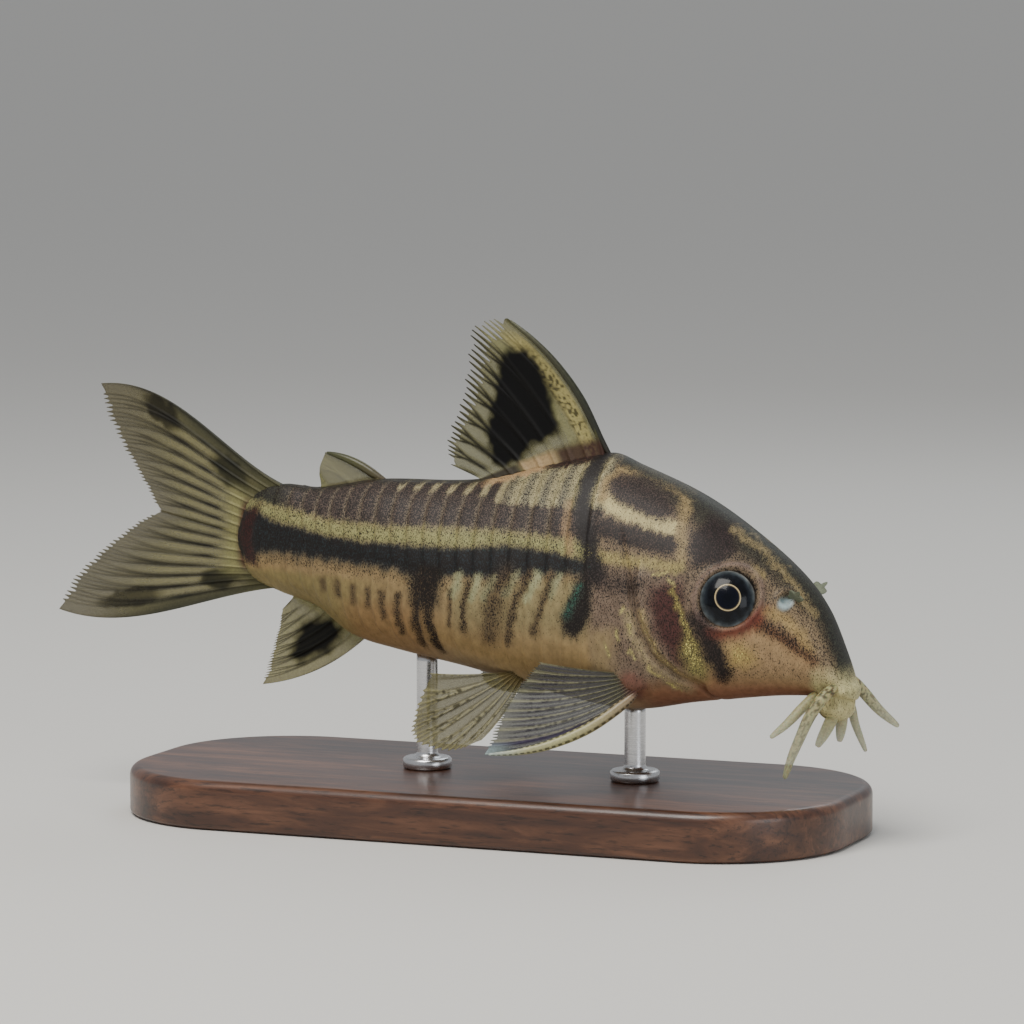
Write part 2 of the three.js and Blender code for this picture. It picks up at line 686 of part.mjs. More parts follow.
function standRod(x) {
  const foot = BASE_HEIGHT + GAP;
  const top = Math.min(bellyAt(x - ROD_RADIUS), bellyAt(x + ROD_RADIUS)) - GAP;
  const outline = [
    [0, foot], [COLLAR_RADIUS, foot], [COLLAR_RADIUS, foot + COLLAR_HEIGHT],
    [ROD_RADIUS, foot + FILLET_SHARE * COLLAR_HEIGHT], [ROD_RADIUS, top], [0, top],
  ].map((p) => new THREE.Vector2(...p));
  const geometry = new THREE.LatheGeometry(outline, 12);
  geometry.rotateX(Math.PI / 2);
  geometry.translate(x, 0, 0);
  return solid(geometry);
}

addMesh('stand_base', standBase(), woodMaterial(), false);
for (const [name, x] of Object.entries(ROD_AT)) {
  addMesh(`stand_rod_${name}`, standRod(x), steelMaterial(), false);
}

export default fish;
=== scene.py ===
"""A corydoras catfish, life size and still, on a small display stand.

Shapes are worked out in millimetres, in the frame of the solids, and become metres in make_mesh.
X runs from tail to snout, the fish's left side faces +Y, and Z is up.
"""
import math

import bmesh
import bpy
import numpy as np
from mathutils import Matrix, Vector, noise


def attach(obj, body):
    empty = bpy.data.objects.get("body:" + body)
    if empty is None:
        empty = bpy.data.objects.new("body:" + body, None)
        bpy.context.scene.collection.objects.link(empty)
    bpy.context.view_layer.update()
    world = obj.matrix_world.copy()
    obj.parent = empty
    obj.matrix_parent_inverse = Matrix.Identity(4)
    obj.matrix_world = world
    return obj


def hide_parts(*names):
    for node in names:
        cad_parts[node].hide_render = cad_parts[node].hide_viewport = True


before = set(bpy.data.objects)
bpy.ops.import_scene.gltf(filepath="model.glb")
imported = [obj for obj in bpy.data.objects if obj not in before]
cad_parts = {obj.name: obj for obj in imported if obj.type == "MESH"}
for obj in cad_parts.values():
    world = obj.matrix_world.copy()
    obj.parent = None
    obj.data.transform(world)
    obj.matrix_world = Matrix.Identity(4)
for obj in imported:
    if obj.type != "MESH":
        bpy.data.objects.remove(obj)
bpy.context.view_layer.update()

MM = 0.001

# The body's outline, as stations of [x, size] from tail to snout, as in the solids
TAIL_END = -17.4
SNOUT_END = 23.5
BACK = [
    [TAIL_END, 17.3], [-16.6, 19.1], [-14.5, 20.1], [-11.8, 20.05], [-7.8, 20.7], [-1.1, 20.95],
    [4.1, 22.2], [7.6, 22.85], [9.3, 22.25], [13.2, 20.65], [16.4, 18.75], [19.7, 16.3],
    [21.4, 14.3], [22.5, 11.9], [23.2, 10.1], [SNOUT_END, 9.2],
]
BELLY = [
    [TAIL_END, 16.1], [-16.6, 14.4], [-14.5, 13.45], [-11.8, 12.65], [-9.4, 11.05], [-6.4, 10.3],
    [-1.1, 9.4], [4.1, 8.3], [8.5, 7.6], [10.5, 7.65], [13.2, 8.15], [16.5, 8.6], [19.1, 8.9],
    [22, 9], [SNOUT_END, 8.9],
]
HALF_WIDTH = [
    [TAIL_END, 0.25], [-16.6, 0.75], [-14, 1.5], [-10, 2.7], [-6, 3.6], [-1, 4.6], [4, 5.3],
    [8, 5.6], [11, 5.5], [14, 5], [16.4, 4.25], [18.4, 3.5], [20, 2.9], [21.5, 2.3], [22.6, 1.7],
    [23.2, 1.1], [SNOUT_END, 0.5],
]
WAIST = [[TAIL_END, 0.5], [-6, 0.48], [4, 0.4], [10, 0.32], [16, 0.4], [20, 0.4], [SNOUT_END, 0.5]]
BACK_SQUARE = [[TAIL_END, 2], [-6, 1.85], [4, 1.65], [10, 1.75], [16, 1.9], [SNOUT_END, 2]]
BELLY_SQUARE = [[TAIL_END, 2], [-6, 2.1], [4, 2.5], [12, 2.6], [18, 2.4], [SNOUT_END, 2]]
SKIN_RINGS, SKIN_SIDES = 560, 400

# The pose: the head turns to the right side, and the tail a little to the left
HEAD_TURN_FROM, HEAD_TURN = 8, 0.0062
TAIL_TURN_FROM, TAIL_TURN = -6, 0.0024

# Lips: centre and half sizes
LOWER_LIP = (np.array([22.15, 0, 8.4]), np.array([1.15, 1.45, 0.85]))
UPPER_LIP = (np.array([22.75, 0, 9.5]), np.array([0.85, 1.5, 0.5]))
LIP_BLEND = 0.3

# Features that the skin's relief follows, as places [x, z] seen from the side
GILL_LINE = [[9.2, 19.5], [10.4, 16], [11, 13.6], [12, 11.5], [13.4, 10.2], [14.8, 9.4], [15.1, 8.4]]
COVER_REAR = [[10.9, 15.7], [11.4, 13.7], [12.4, 11.8], [13.7, 10.6], [15, 9.9]]
EYE_AT = (16.4, 14.9)
EYE_RADIUS, EYE_BULGE, EYE_SINK = 1.76, 1.05, 0.4
EYE_RIM, EYE_SOCKET = 1.82, 1.1
NOSTRIL_AT = (19.6, 14.9)
PECTORAL_ROOT = (10.75, 9.6)
PLATES_FROM, PLATES_TO = 8.0, -16.0
PLATE_COUNT = 21
PLATE_SHRINK, PLATE_BOW, PLATE_LIFT = 0.25, 0.5, 0.11
# Turns round the body, in radians from the back, of the seam between the two rows and the lower end
MID_TURN, LOW_TURN = 1.41, 2.6

# The camera's place, as the photograph's
CAMERA_TURN, CAMERA_RISE, CAMERA_FAR = 22, 6, 300
CAMERA_TARGET = (1, 0, 19)
CAMERA_LENS = 174
SENSOR = 36


def profile(stations):
    """A smooth curve through stations of [place, size], for arrays of places."""
    table = np.array(stations, float)
    xs, ys = table[:, 0], table[:, 1]
    low = np.maximum(np.arange(len(xs)) - 1, 0)
    high = np.minimum(np.arange(len(xs)) + 1, len(xs) - 1)
    slopes = (ys[high] - ys[low]) / (xs[high] - xs[low])

    def at(place):
        place = np.clip(place, xs[0], xs[-1])
        i = np.clip(np.searchsorted(xs, place, side="right") - 1, 0, len(xs) - 2)
        span = xs[i + 1] - xs[i]
        t = (place - xs[i]) / span
        rise = t * t * (3 - 2 * t)
        leave = t * (1 - t) ** 2 * span * slopes[i]
        arrive = t * t * (t - 1) * span * slopes[i + 1]
        return ys[i] + (ys[i + 1] - ys[i]) * rise + leave + arrive

    return at


back_at, belly_at, half_width_at = profile(BACK), profile(BELLY), profile(HALF_WIDTH)
waist_at, back_square_at, belly_square_at = profile(WAIST), profile(BACK_SQUARE), profile(BELLY_SQUARE)


def skin_point(x, turn):
    """Points of the skin: turn is 0 on the back and a quarter at the left side."""
    x, turn = np.broadcast_arrays(np.asarray(x, float), np.asarray(turn, float))
    top, bottom = back_at(x), belly_at(x)
    waist = bottom + (top - bottom) * waist_at(x)
    side, rise = np.sin(turn), np.cos(turn)
    over = rise >= 0
    reach = np.where(over, top - waist, waist - bottom)
    power = 2 / np.where(over, back_square_at(x), belly_square_at(x))
    y = half_width_at(x) * np.sign(side) * np.abs(side) ** power
    z = waist + reach * np.sign(rise) * np.abs(rise) ** power
    return np.stack([x, y, z], -1)


def side_reach(x, z):
    """The skin's distance from the middle plane at places seen from the side."""
    x, z = np.asarray(x, float), np.asarray(z, float)
    top, bottom = back_at(x), belly_at(x)
    waist = bottom + (top - bottom) * waist_at(x)
    over = z >= waist
    reach = np.where(over, top - waist, waist - bottom)
    power = 2 / np.where(over, back_square_at(x), belly_square_at(x))
    share = np.minimum(np.abs(z - waist) / reach, 1)
    return half_width_at(x) * (1 - share ** (2 / power)) ** (power / 2)


def skin_place(x, z, side):
    """A point of the skin seen from the side, and a turn that takes Z straight out of the skin there."""
    step = 0.05
    along_x = float(side_reach(x + step, z) - side_reach(x - step, z)) / (2 * step)
    along_z = float(side_reach(x, z + step) - side_reach(x, z - step)) / (2 * step)
    out = Vector((-along_x, side, -along_z)).normalized()
    turn = Vector((0, 0, 1)).rotation_difference(out).to_matrix()
    return np.array([x, side * float(side_reach(x, z)), z]), np.array(turn)


def bend(points):
    """Turns straight points into the pose."""
    ahead = np.maximum(points[..., 0] - HEAD_TURN_FROM, 0)
    behind = np.maximum(TAIL_TURN_FROM - points[..., 0], 0)
    posed = points.copy()
    posed[..., 1] += TAIL_TURN * behind ** 2 - HEAD_TURN * ahead ** 2
    return posed


def smooth(low, high, value):
    """0 below low, 1 above high, and a smooth step between."""
    t = np.clip((value - low) / (high - low), 0, 1)
    return t * t * (3 - 2 * t)


def fade(low, high, value):
    """1 below low, 0 above high, and a smooth step between."""
    return 1 - smooth(low, high, value)


def bell(value, width):
    """1 where value is 0, falling away over about a width on both sides."""
    return np.exp(-(value / width) ** 2)


def catmull(points, shares):
    """Points of a smooth curve through points, at shares of its run."""
    points = np.array(points, float)
    count = len(points) - 1
    padded = np.vstack([2 * points[0] - points[1], points, 2 * points[-1] - points[-2]])
    place = np.clip(np.asarray(shares, float), 0, 1) * count
    i = np.minimum(place.astype(int), count - 1)
    t = (place - i)[..., None]
    p0, p1, p2, p3 = padded[i], padded[i + 1], padded[i + 2], padded[i + 3]
    return 0.5 * (2 * p1 + (p2 - p0) * t + (2 * p0 - 5 * p1 + 4 * p2 - p3) * t ** 2
                  + (3 * p1 - p0 - 3 * p2 + p3) * t ** 3)


def noise_at(points, scale, seed):
    """Smooth noise from -1 to 1 at points, with features about 1 / scale mm wide."""
    shift = Vector((seed * 17.3, seed * 7.7, seed * 3.1))
    return np.array([noise.noise(Vector(p) * scale + shift) for p in points])


def distance_to(points, line):
    """Distance of flat points to a line of places, and how far along it the nearest place is."""
    line = np.array(line, float)
    best = np.full(len(points), 1e9)
    share = np.zeros(len(points))
    if len(line) == 1:
        return np.linalg.norm(points - line[0], axis=1), share
    for i in range(len(line) - 1):
        start, step = line[i], line[i + 1] - line[i]
        t = np.clip(((points - start) @ step) / (step @ step), 0, 1)
        gap = np.linalg.norm(points - start - t[:, None] * step, axis=1)
        nearer = gap < best
        best = np.where(nearer, gap, best)
        share = np.where(nearer, (i + t) / (len(line) - 1), share)
    return best, share


# Materials
CELL_SCALE = 16000.0
SKIN_TONE = 0.8


def rgb(value):
    """A colour given as on a screen, in linear light."""
    parts = [int(value[i:i + 2], 16) / 255 for i in (0, 2, 4)]
    return np.array([c / 12.92 if c <= 0.04045 else ((c + 0.055) / 1.055) ** 2.4 for c in parts])


def tones_at(value, places, tones):
    """Colours at values, from the tones given at places."""
    table = np.array([rgb(tone) for tone in tones])
    return np.stack([np.interp(value, places, column) for column in table.T], -1)


def new_material(name, **sockets):
    material = bpy.data.materials.new(name)
    material.use_nodes = True
    tree = material.node_tree
    shader = tree.nodes["Principled BSDF"]
    for key, value in sockets.items():
        shader.inputs[key.replace("_", " ")].default_value = value
    return material, tree, shader


def feed(tree, sockets, values):
    """Links an output to each input, or sets its value."""
    for socket, value in zip(sockets, values):
        if isinstance(value, bpy.types.NodeSocket):
            tree.links.new(value, socket)
        else:
            socket.default_value = value


def add_node(tree, kind, **values):
    """A node with its inputs fed and its settings set."""
    node = tree.nodes.new(kind)
    for key, value in values.items():
        if key in node.inputs:
            feed(tree, [node.inputs[key]], [value])
        else:
            setattr(node, key, value)
    return node


def fine_noise(tree, scale, detail=3.0, roughness=0.6, stretch=None, distortion=0.0):
    """Noise in object space. Scale is features a metre, and stretch scales the three axes."""
    place = add_node(tree, "ShaderNodeTexCoord").outputs["Object"]
    if stretch:
        place = add_node(tree, "ShaderNodeMapping", Vector=place, Scale=stretch).outputs["Vector"]
    return add_node(
        tree, "ShaderNodeTexNoise", Vector=place, Scale=scale, Detail=detail, Roughness=roughness,
        Distortion=distortion,
    ).outputs["Fac"]


def ramp(tree, value, stops):
    """A colour ramp, from stops of (place, colour or level of grey)."""
    node = add_node(tree, "ShaderNodeValToRGB", Fac=value)
    elements = node.color_ramp.elements
    while len(elements) < len(stops):
        elements.new(0.5)
    for element, (place, shade) in zip(elements, stops):
        element.position = place
        element.color = (*np.broadcast_to(shade, 3), 1)
    return node.outputs["Color"]


def mix_colour(tree, factor, first, second, blend="MIX"):
    node = add_node(tree, "ShaderNodeMix", data_type="RGBA", blend_type=blend)
    feed(tree, (node.inputs[0], node.inputs[6], node.inputs[7]), (factor, first, second))
    return node.outputs[2]


def work_out(tree, operation, *values, clamp=False):
    node = add_node(tree, "ShaderNodeMath", operation=operation, use_clamp=clamp)
    feed(tree, node.inputs, values)
    return node.outputs[0]


def add_bump(tree, shader, height, distance, strength):
    bump = add_node(tree, "ShaderNodeBump", Height=height, Distance=distance, Strength=strength)
    tree.links.new(bump.outputs["Normal"], shader.inputs["Normal"])


def over_threshold(tree, value, amount, reach, start, sharpness):
    """Cover from 0 to 1 where noise plus an amount passes a threshold."""
    raised = work_out(tree, "MULTIPLY_ADD", amount, reach, value)
    return work_out(tree, "MULTIPLY_ADD", raised, sharpness, -start * sharpness, clamp=True)


def skin_material():
    """Painted colour, dark pigment cells by density, and gold and teal flecks that shine like metal."""
    material, tree, shader = new_material(
        "skin", Roughness=0.56, Specular_IOR_Level=0.2, Coat_Weight=0.04, Coat_Roughness=0.2,
        Subsurface_Weight=0.1, Subsurface_Scale=0.0004, Subsurface_Radius=(1.0, 0.5, 0.3),
    )
    paint = add_node(tree, "ShaderNodeAttribute", attribute_name="paint").outputs["Color"]
    marks = add_node(tree, "ShaderNodeAttribute", attribute_name="marks").outputs["Color"]
    ink, gilt, sheen = add_node(tree, "ShaderNodeSeparateColor", Color=marks).outputs
    stretch = (1.0, 0.8, 0.55)
    cells = fine_noise(tree, CELL_SCALE, 2.0, 0.65, stretch)
    tones = fine_noise(tree, CELL_SCALE / 5, 4.0, 0.6, stretch)
    uneven = ramp(tree, tones, [(0.3, (0.78, 0.77, 0.75)), (0.7, (1.16, 1.16, 1.14))])
    ground = mix_colour(tree, 1.0, paint, uneven, "MULTIPLY")
    dark = over_threshold(tree, cells, ink, 0.4, 0.67, 8.0)
    speckled = mix_colour(tree, dark, ground, (*rgb("191412"), 1))
    gold = over_threshold(tree, fine_noise(tree, CELL_SCALE * 0.7, 3.0, 0.75), gilt, 0.34, 0.76, 9.0)
    gilded = mix_colour(tree, gold, speckled, (*rgb("ddd07c"), 1))
    teal = over_threshold(tree, fine_noise(tree, CELL_SCALE * 0.6, 3.0, 0.8), sheen, 0.34, 0.76, 8.0)
    final = mix_colour(tree, teal, gilded, (*rgb("2f7563"), 1))
    shine = work_out(tree, "MULTIPLY", work_out(tree, "MAXIMUM", gold, teal), 0.45)
    feed(tree, (shader.inputs["Base Color"], shader.inputs["Metallic"]), (final, shine))
    add_bump(tree, shader, fine_noise(tree, 7000, 4.0, 0.65), 0.000015, 0.5)
    return material


def painted_material(name, **sockets):
    """A finish whose colour and cover come from the mesh's own paint, with a fine grain."""
    material, tree, shader = new_material(name, **sockets)
    paint = add_node(tree, "ShaderNodeAttribute", attribute_name="paint")
    grain = ramp(tree, fine_noise(tree, 8000, 3.0, 0.7), [(0.3, 0.72), (0.7, 1.12)])
    colour = mix_colour(tree, 1.0, paint.outputs["Color"], grain, "MULTIPLY")
    feed(tree, (shader.inputs["Base Color"], shader.inputs["Alpha"]), (colour, paint.outputs["Alpha"]))
    add_bump(tree, shader, fine_noise(tree, 9000, 3.0, 0.6), 0.000012, 0.5)
    return material


# Mesh making

def add_object(name, data):
    """A new object in the scene."""
    thing = bpy.data.objects.new(name, data)
    bpy.context.scene.collection.objects.link(thing)
    return thing


def make_mesh(name, points, faces, material, nodes, paint=None, marks=None, soft=True):
    """A piece from points in millimetres. It replaces nodes of the frame and rides with the body."""
    mesh = bpy.data.meshes.new(name)
    mesh.from_pydata((np.asarray(points) * MM).tolist(), [], faces)
    for key, values in (("paint", paint), ("marks", marks)):
        if values is None:
            continue
        layer = mesh.color_attributes.new(key, "FLOAT_COLOR", "POINT")
        full = np.ones((len(points), 4), np.float32)
        full[:, :values.shape[1]] = values
        layer.data.foreach_set("color", full.ravel())
    mesh.polygons.foreach_set("use_smooth", np.full(len(mesh.polygons), soft))
    mesh.materials.append(material)
    piece = add_object(name, mesh)
    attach(piece, "root")
    if nodes:
        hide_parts(*nodes)
    turned = bmesh.new()
    turned.from_mesh(mesh)
    bmesh.ops.recalc_face_normals(turned, faces=turned.faces)
    turned.to_mesh(mesh)
    turned.free()
    return piece


def tube_places(rings, sides):
    """Share along a closed tube and angle round it, for each point. Its ends are single points."""
    share = np.concatenate([[0], np.repeat(np.arange(1, rings + 1) / (rings + 1), sides), [1]])
    around = np.concatenate([[0], np.tile(2 * np.pi * np.arange(sides) / sides, rings), [0]])
    return share, around


def tube_faces(rings, sides):
    """Quads of a closed tube, with triangles at its two ends."""
    faces = []
    for j in range(rings - 1):
        for i in range(sides):
            a = 1 + j * sides + i
            b = 1 + j * sides + (i + 1) % sides
            faces.append((a, b, b + sides, a + sides))
    last = 1 + rings * sides
    for i in range(sides):
        a, b = 1 + i, 1 + (i + 1) % sides
        faces.append((0, b, a))
        faces.append((last, a + (rings - 1) * sides, b + (rings - 1) * sides))
    return faces


# Skin: relief

def plate_phase(x, turn):
    """Where a place is in its flank plate, from 0 at the front edge to 1 at the rear, and how far
    its row reaches from the back or belly: from 0 at the row's start to 1 at its end."""
    turn = np.abs(turn)
    run = np.where(turn < MID_TURN, turn / MID_TURN, (turn - MID_TURN) / (LOW_TURN - MID_TURN))
    bow = PLATE_BOW * (1 - (2 * np.clip(run, 0, 1) - 1) ** 2)
    along = (PLATES_FROM - (x + bow)) / (PLATES_FROM - PLATES_TO)
    # Plates grow shorter towards the tail
    place = PLATE_COUNT * (along * (1 - PLATE_SHRINK / 2) + PLATE_SHRINK / 2 * along ** 2)
    return place - np.floor(place), run


def relief(x, turn, z):
    """How far the skin stands out, in millimetres."""
    phase, run = plate_phase(x, turn)
    turn = np.abs(turn)
    on_flank = smooth(-16.4, -15.4, x) * fade(7.6, 8.4, x)
    on_flank *= np.where(turn < MID_TURN, smooth(0.1, 0.2, run), fade(0.72, 0.95, run))
    lift = PLATE_LIFT * smooth(0.0, 0.9, phase) * fade(0.93, 1.0, phase) * on_flank
    lift -= bell(turn - MID_TURN, 0.05) * on_flank * 0.04
    flat = np.stack([x, z], -1)
    gill, share = distance_to(flat, GILL_LINE)
    lift -= 0.3 * bell(gill, 0.16) * smooth(0, 0.25, share)
    cover, _ = distance_to(flat, COVER_REAR)
    rear = np.array(COVER_REAR[::-1])
    lift += 0.24 * bell(cover, 0.9) * (x > np.interp(z, rear[:, 1], rear[:, 0]))
    eye = np.hypot(x - EYE_AT[0], z - EYE_AT[1])
    lift += 0.24 * bell(eye - EYE_RIM, 0.2) - EYE_SOCKET * fade(1.2, 1.56, eye)
    arm = np.hypot(x - PECTORAL_ROOT[0], (z - PECTORAL_ROOT[1]) * 1.3)
    nostril = np.hypot(x - NOSTRIL_AT[0], z - NOSTRIL_AT[1])
    lift += 0.1 * bell(nostril - 0.5, 0.16) - 0.35 * fade(0.12, 0.36, nostril)
    return lift + 0.45 * bell(arm, 0.8)


# Skin: markings, as lines of places [x, z] seen from the side
CREAM_TOP = [
    [-17.4, 19.2], [-14.8, 18.95], [-13.2, 18.7], [-10.7, 18.35], [-8.4, 18.2], [-5.4, 18.15],
    [0.4, 18.25], [3.3, 18.15], [5.9, 18.05], [8.5, 17.7],
]
CREAM_BOTTOM = [
    [-17.4, 18.6], [-16.3, 18.5], [-14.6, 18.05], [-12.2, 17.65], [-9.7, 17.3], [-6.6, 17.15],
    [-0.8, 17.15], [2, 17.4], [4.2, 17.35], [6.3, 17.1], [8.5, 16.6],
]
BLACK_BOTTOM = [
    [-17.4, 15.3], [-14.6, 15.9], [-11.3, 15.8], [-8.1, 15.65], [-5, 15.5], [-3.5, 15.2],
    [-0.6, 15.4], [2.3, 15.45], [5, 15.85], [8.5, 15.8],
]
# Dark bars of the belly side: line, half width, density
BELLY_BARS = [
    ([[-3.1, 15.6], [-3.55, 13.9], [-3.75, 12.6], [-3.65, 11.2]], 0.3, 0.85),
    ([[-2.35, 15.6], [-2.7, 13.9], [-2.8, 12.6], [-2.45, 10.9]], 0.3, 0.95),
    ([[-4.85, 14.1], [-5.1, 13], [-4.95, 11.8]], 0.2, 0.7),
    ([[-6.1, 14.2], [-6.2, 13.2], [-6.1, 12.6]], 0.17, 0.6),
    ([[-7.1, 14.3], [-7.2, 13.3]], 0.17, 0.5),
    ([[-8.2, 14.3], [-8.3, 13.5]], 0.2, 0.5),
    ([[-9.4, 14.5], [-9.4, 13.8]], 0.22, 0.45),
    ([[-10.5, 14.6], [-10.5, 14.1]], 0.2, 0.3),
    ([[-1.1, 14.6], [-1.35, 12.5]], 0.13, 0.6),
    ([[0.1, 15], [-0.2, 14.2], [-0.35, 12.2]], 0.17, 0.75),
    ([[2.6, 15.8], [1.9, 14.2], [1.5, 12.1]], 0.56, 0.62),
    ([[4.2, 15.9], [3.3, 14.2], [2.75, 11.8]], 0.24, 0.68),
    ([[5.7, 15.9], [5.1, 14.2], [4.5, 12.4]], 0.22, 0.6),
]
GREEN_SLANTS = [
    [[-0.5, 15.5], [-1, 14.4]], [[0.8, 15.5], [0.3, 14.3]], [[1.9, 15.5], [1.2, 14.4]],
    [[3.3, 15.8], [2.6, 14.6]], [[4.7, 15.9], [4.1, 14.5]], [[6, 15.9], [5.6, 14.8]],
]
# Marks of the head in three layers: places, half width (0 fills their outline), colour, strength,
# softness, density of dark cells, density of gold
NAPE_MARKS = [
    ([[8.15, 20.4], [9.2, 19.75], [11, 19.15], [12.6, 18.8]], 0.36, "ccbd86", 0.95, 0.7, 0.28),
    ([[8.1, 20.4], [8.05, 21.3], [8.6, 22], [9.8, 22.05], [11.3, 21.4], [12.7, 20.7]],
     0.26, "a48d62", 0.9, 0.8, 0.36),
    ([[8.3, 20.9], [8.5, 21.7], [10, 21.45], [11.7, 20.7], [12.4, 19.9], [12, 19.2], [10.5, 19.6],
      [8.9, 20.3]], 0, "4d3e3a", 0.95, 0.4, 0.68),
    ([[12.8, 20.75], [13, 19.6], [13.15, 18.5], [13.5, 17]], 0.3, "9d885f", 0.9, 0.8, 0.4),
    ([[8.5, 18.75], [10.7, 18.2], [12.5, 17.9]], 0.5, "4a3a35", 0.95, 0.4, 0.72),
]
FACE_MARKS = [
    ([[8.6, 17.1], [10.9, 16.85], [13.4, 16.6]], 0.34, "a0915f", 0.85, 0.8, 0.34, 0.5),
    ([[6, 19.9], [6.1, 18.6], [6.6, 17.4]], 0.3, "9c7f5c", 0.7, 0.8, 0.35),
    # The saddle behind the head
    ([[7.2, 22.6], [6.9, 21.2], [6.95, 20], [7.4, 18.6], [8, 17.2], [8.5, 16]],
     0.47, "2c2a2d", 0.95, 0.7, 0.78),
    # Above, behind and ahead of the eye
    ([[13.75, 18.2], [14.5, 19.5], [15.9, 18.8], [16.4, 17.6], [15.7, 16.9], [14.2, 16.7]],
     0, "3f3030", 0.95, 0.4, 0.72),
    ([[15.8, 18.75], [17.5, 17.7], [19, 16.45], [20.2, 15.2], [21.2, 13.9]],
     0.15, "9c8a62", 0.7, 0.95, 0.34),
    ([[8.2, 15.9], [9.4, 15.6], [10.8, 15.5]], 0.55, "4a3d38", 0.6, 0.8, 0.7),
    ([[17.55, 16.6], [18.15, 16.1]], 0.2, "a3905f", 0.7, 0.95, 0.34, 0.45),
    ([[18.6, 14.2], [19.6, 13.8], [20.5, 13], [21.2, 12]], 0.3, "b0955f", 0.65, 0.9, 0.32),
    # The gill cover and its gold edges
    ([[11.8, 15.4], [12.2, 13], [13.5, 11], [15, 10.4], [15, 12], [14, 13.6], [13.7, 15.8]],
     0, "4e2c29", 0.95, 0.5, 0.5),
    ([[11.35, 14], [11.7, 12.9], [12.6, 11.3], [13.7, 10.3], [14.6, 9.7]],
     0.24, "a28e66", 0.8, 0.9, 0.3, 0.56),
    ([[10.5, 13.9], [10.95, 12.4], [11.9, 10.9], [13, 9.9], [13.9, 9.4]],
     0.3, "a39270", 0.75, 0.95, 0.34, 0.5),
    ([[13.2, 15.3], [13.7, 14.2], [14.2, 13.1], [14.7, 12.1]], 0.17, "857a46", 0.8, 0.9, 0.36, 0.66),
]
GOLD_PLATE = [[14.1, 13], [14.7, 12.2], [15.3, 11.2], [15.1, 10.2], [14.2, 10.4], [13.8, 11.8]]
GOLD_FLECKS = [
    [[10.3, 14.2], [10.0, 13.9]], [[9.9, 12.9], [10.1, 12.3]], [[10.7, 11.7], [11.1, 11.2]],
    [[11.8, 10.7], [12.4, 10.1]], [[10.6, 13.2], [10.8, 12.8]], [[9.2, 12], [9.5, 11.4]],
    [[12.9, 9.8], [13.4, 9.4]], [[11.9, 16.1], [12.8, 16.3]], [[12.9, 15.9], [13.3, 15.6]],
]
# The bar under the eye, the cheek's gold and the lore
CHEEK_MARKS = [
    ([[14.9, 13.6], [15.5, 12.4], [16, 11], [16.1, 10.6]], 0.6, "2e2424", 0.95, 0.8, 0.74),
    ([[16.6, 12.2], [17.4, 12.3], [18.2, 11.4], [17.4, 10.9], [16.7, 11]],
     0, "b0965a", 0.85, 0.6, 0.3, 0.72),
    ([[17.7, 13.7], [18.7, 13.2], [20, 12.4], [21.2, 11.3]], 0.42, "6b4830", 0.85, 0.8, 0.66),
    ([[18, 12.8], [19.6, 11.9], [20.9, 11.1]], 0.35, "a98c66", 0.7, 0.9, 0.2),
]


class Paint:
    """Colours and pigment density laid over one another on the skin, from places seen from the side."""

    def __init__(self, flat, ground):
        self.flat = flat
        self.colour = np.tile(rgb(ground), (len(flat), 1))
        self.marks = np.zeros((len(flat), 3))

    def lay(self, mask, shade, strength=1.0, ink=None, gold=0.0, teal=0.0):
        """Lays a colour, a density of dark cells, and flecks where they are denser than before."""
        cover = np.clip(mask * strength, 0, 1)
        if shade:
            self.colour = self.colour * (1 - cover[:, None]) + rgb(shade) * cover[:, None]
        if ink is not None:
            self.marks[:, 0] = self.marks[:, 0] * (1 - cover) + ink * cover
        for channel, density in ((1, gold), (2, teal)):
            self.marks[:, channel] = np.maximum(self.marks[:, channel], mask * density)
        return mask

    def mark(self, places, width, shade, strength, softness, ink, gold=0.0, teal=0.0):
        """Lays a stroke along places, or fills their outline where its width is 0."""
        if width:
            gap, _ = distance_to(self.flat, places)
            mask = fade(width * (1 - softness), width * (1 + softness), gap)
        else:
            mask = inside(self.flat, places, softness)
        return self.lay(mask, shade, strength, ink, gold, teal)


def inside(flat, outline, softness):
    """1 inside a closed outline, falling to 0 just outside it."""
    outline = np.array(outline, float)
    within = np.zeros(len(flat), bool)
    for a, b in zip(outline, np.roll(outline, -1, axis=0)):
        crosses = (a[1] > flat[:, 1]) != (b[1] > flat[:, 1])
        reach = a[0] + (flat[:, 1] - a[1]) * (b[0] - a[0]) / (b[1] - a[1] + 1e-12)
        within ^= crosses & (flat[:, 0] < reach)
    gap, _ = distance_to(flat, np.vstack([outline, outline[:1]]))
    signed = np.where(within, -gap, gap)
    return fade(-softness, softness, signed)


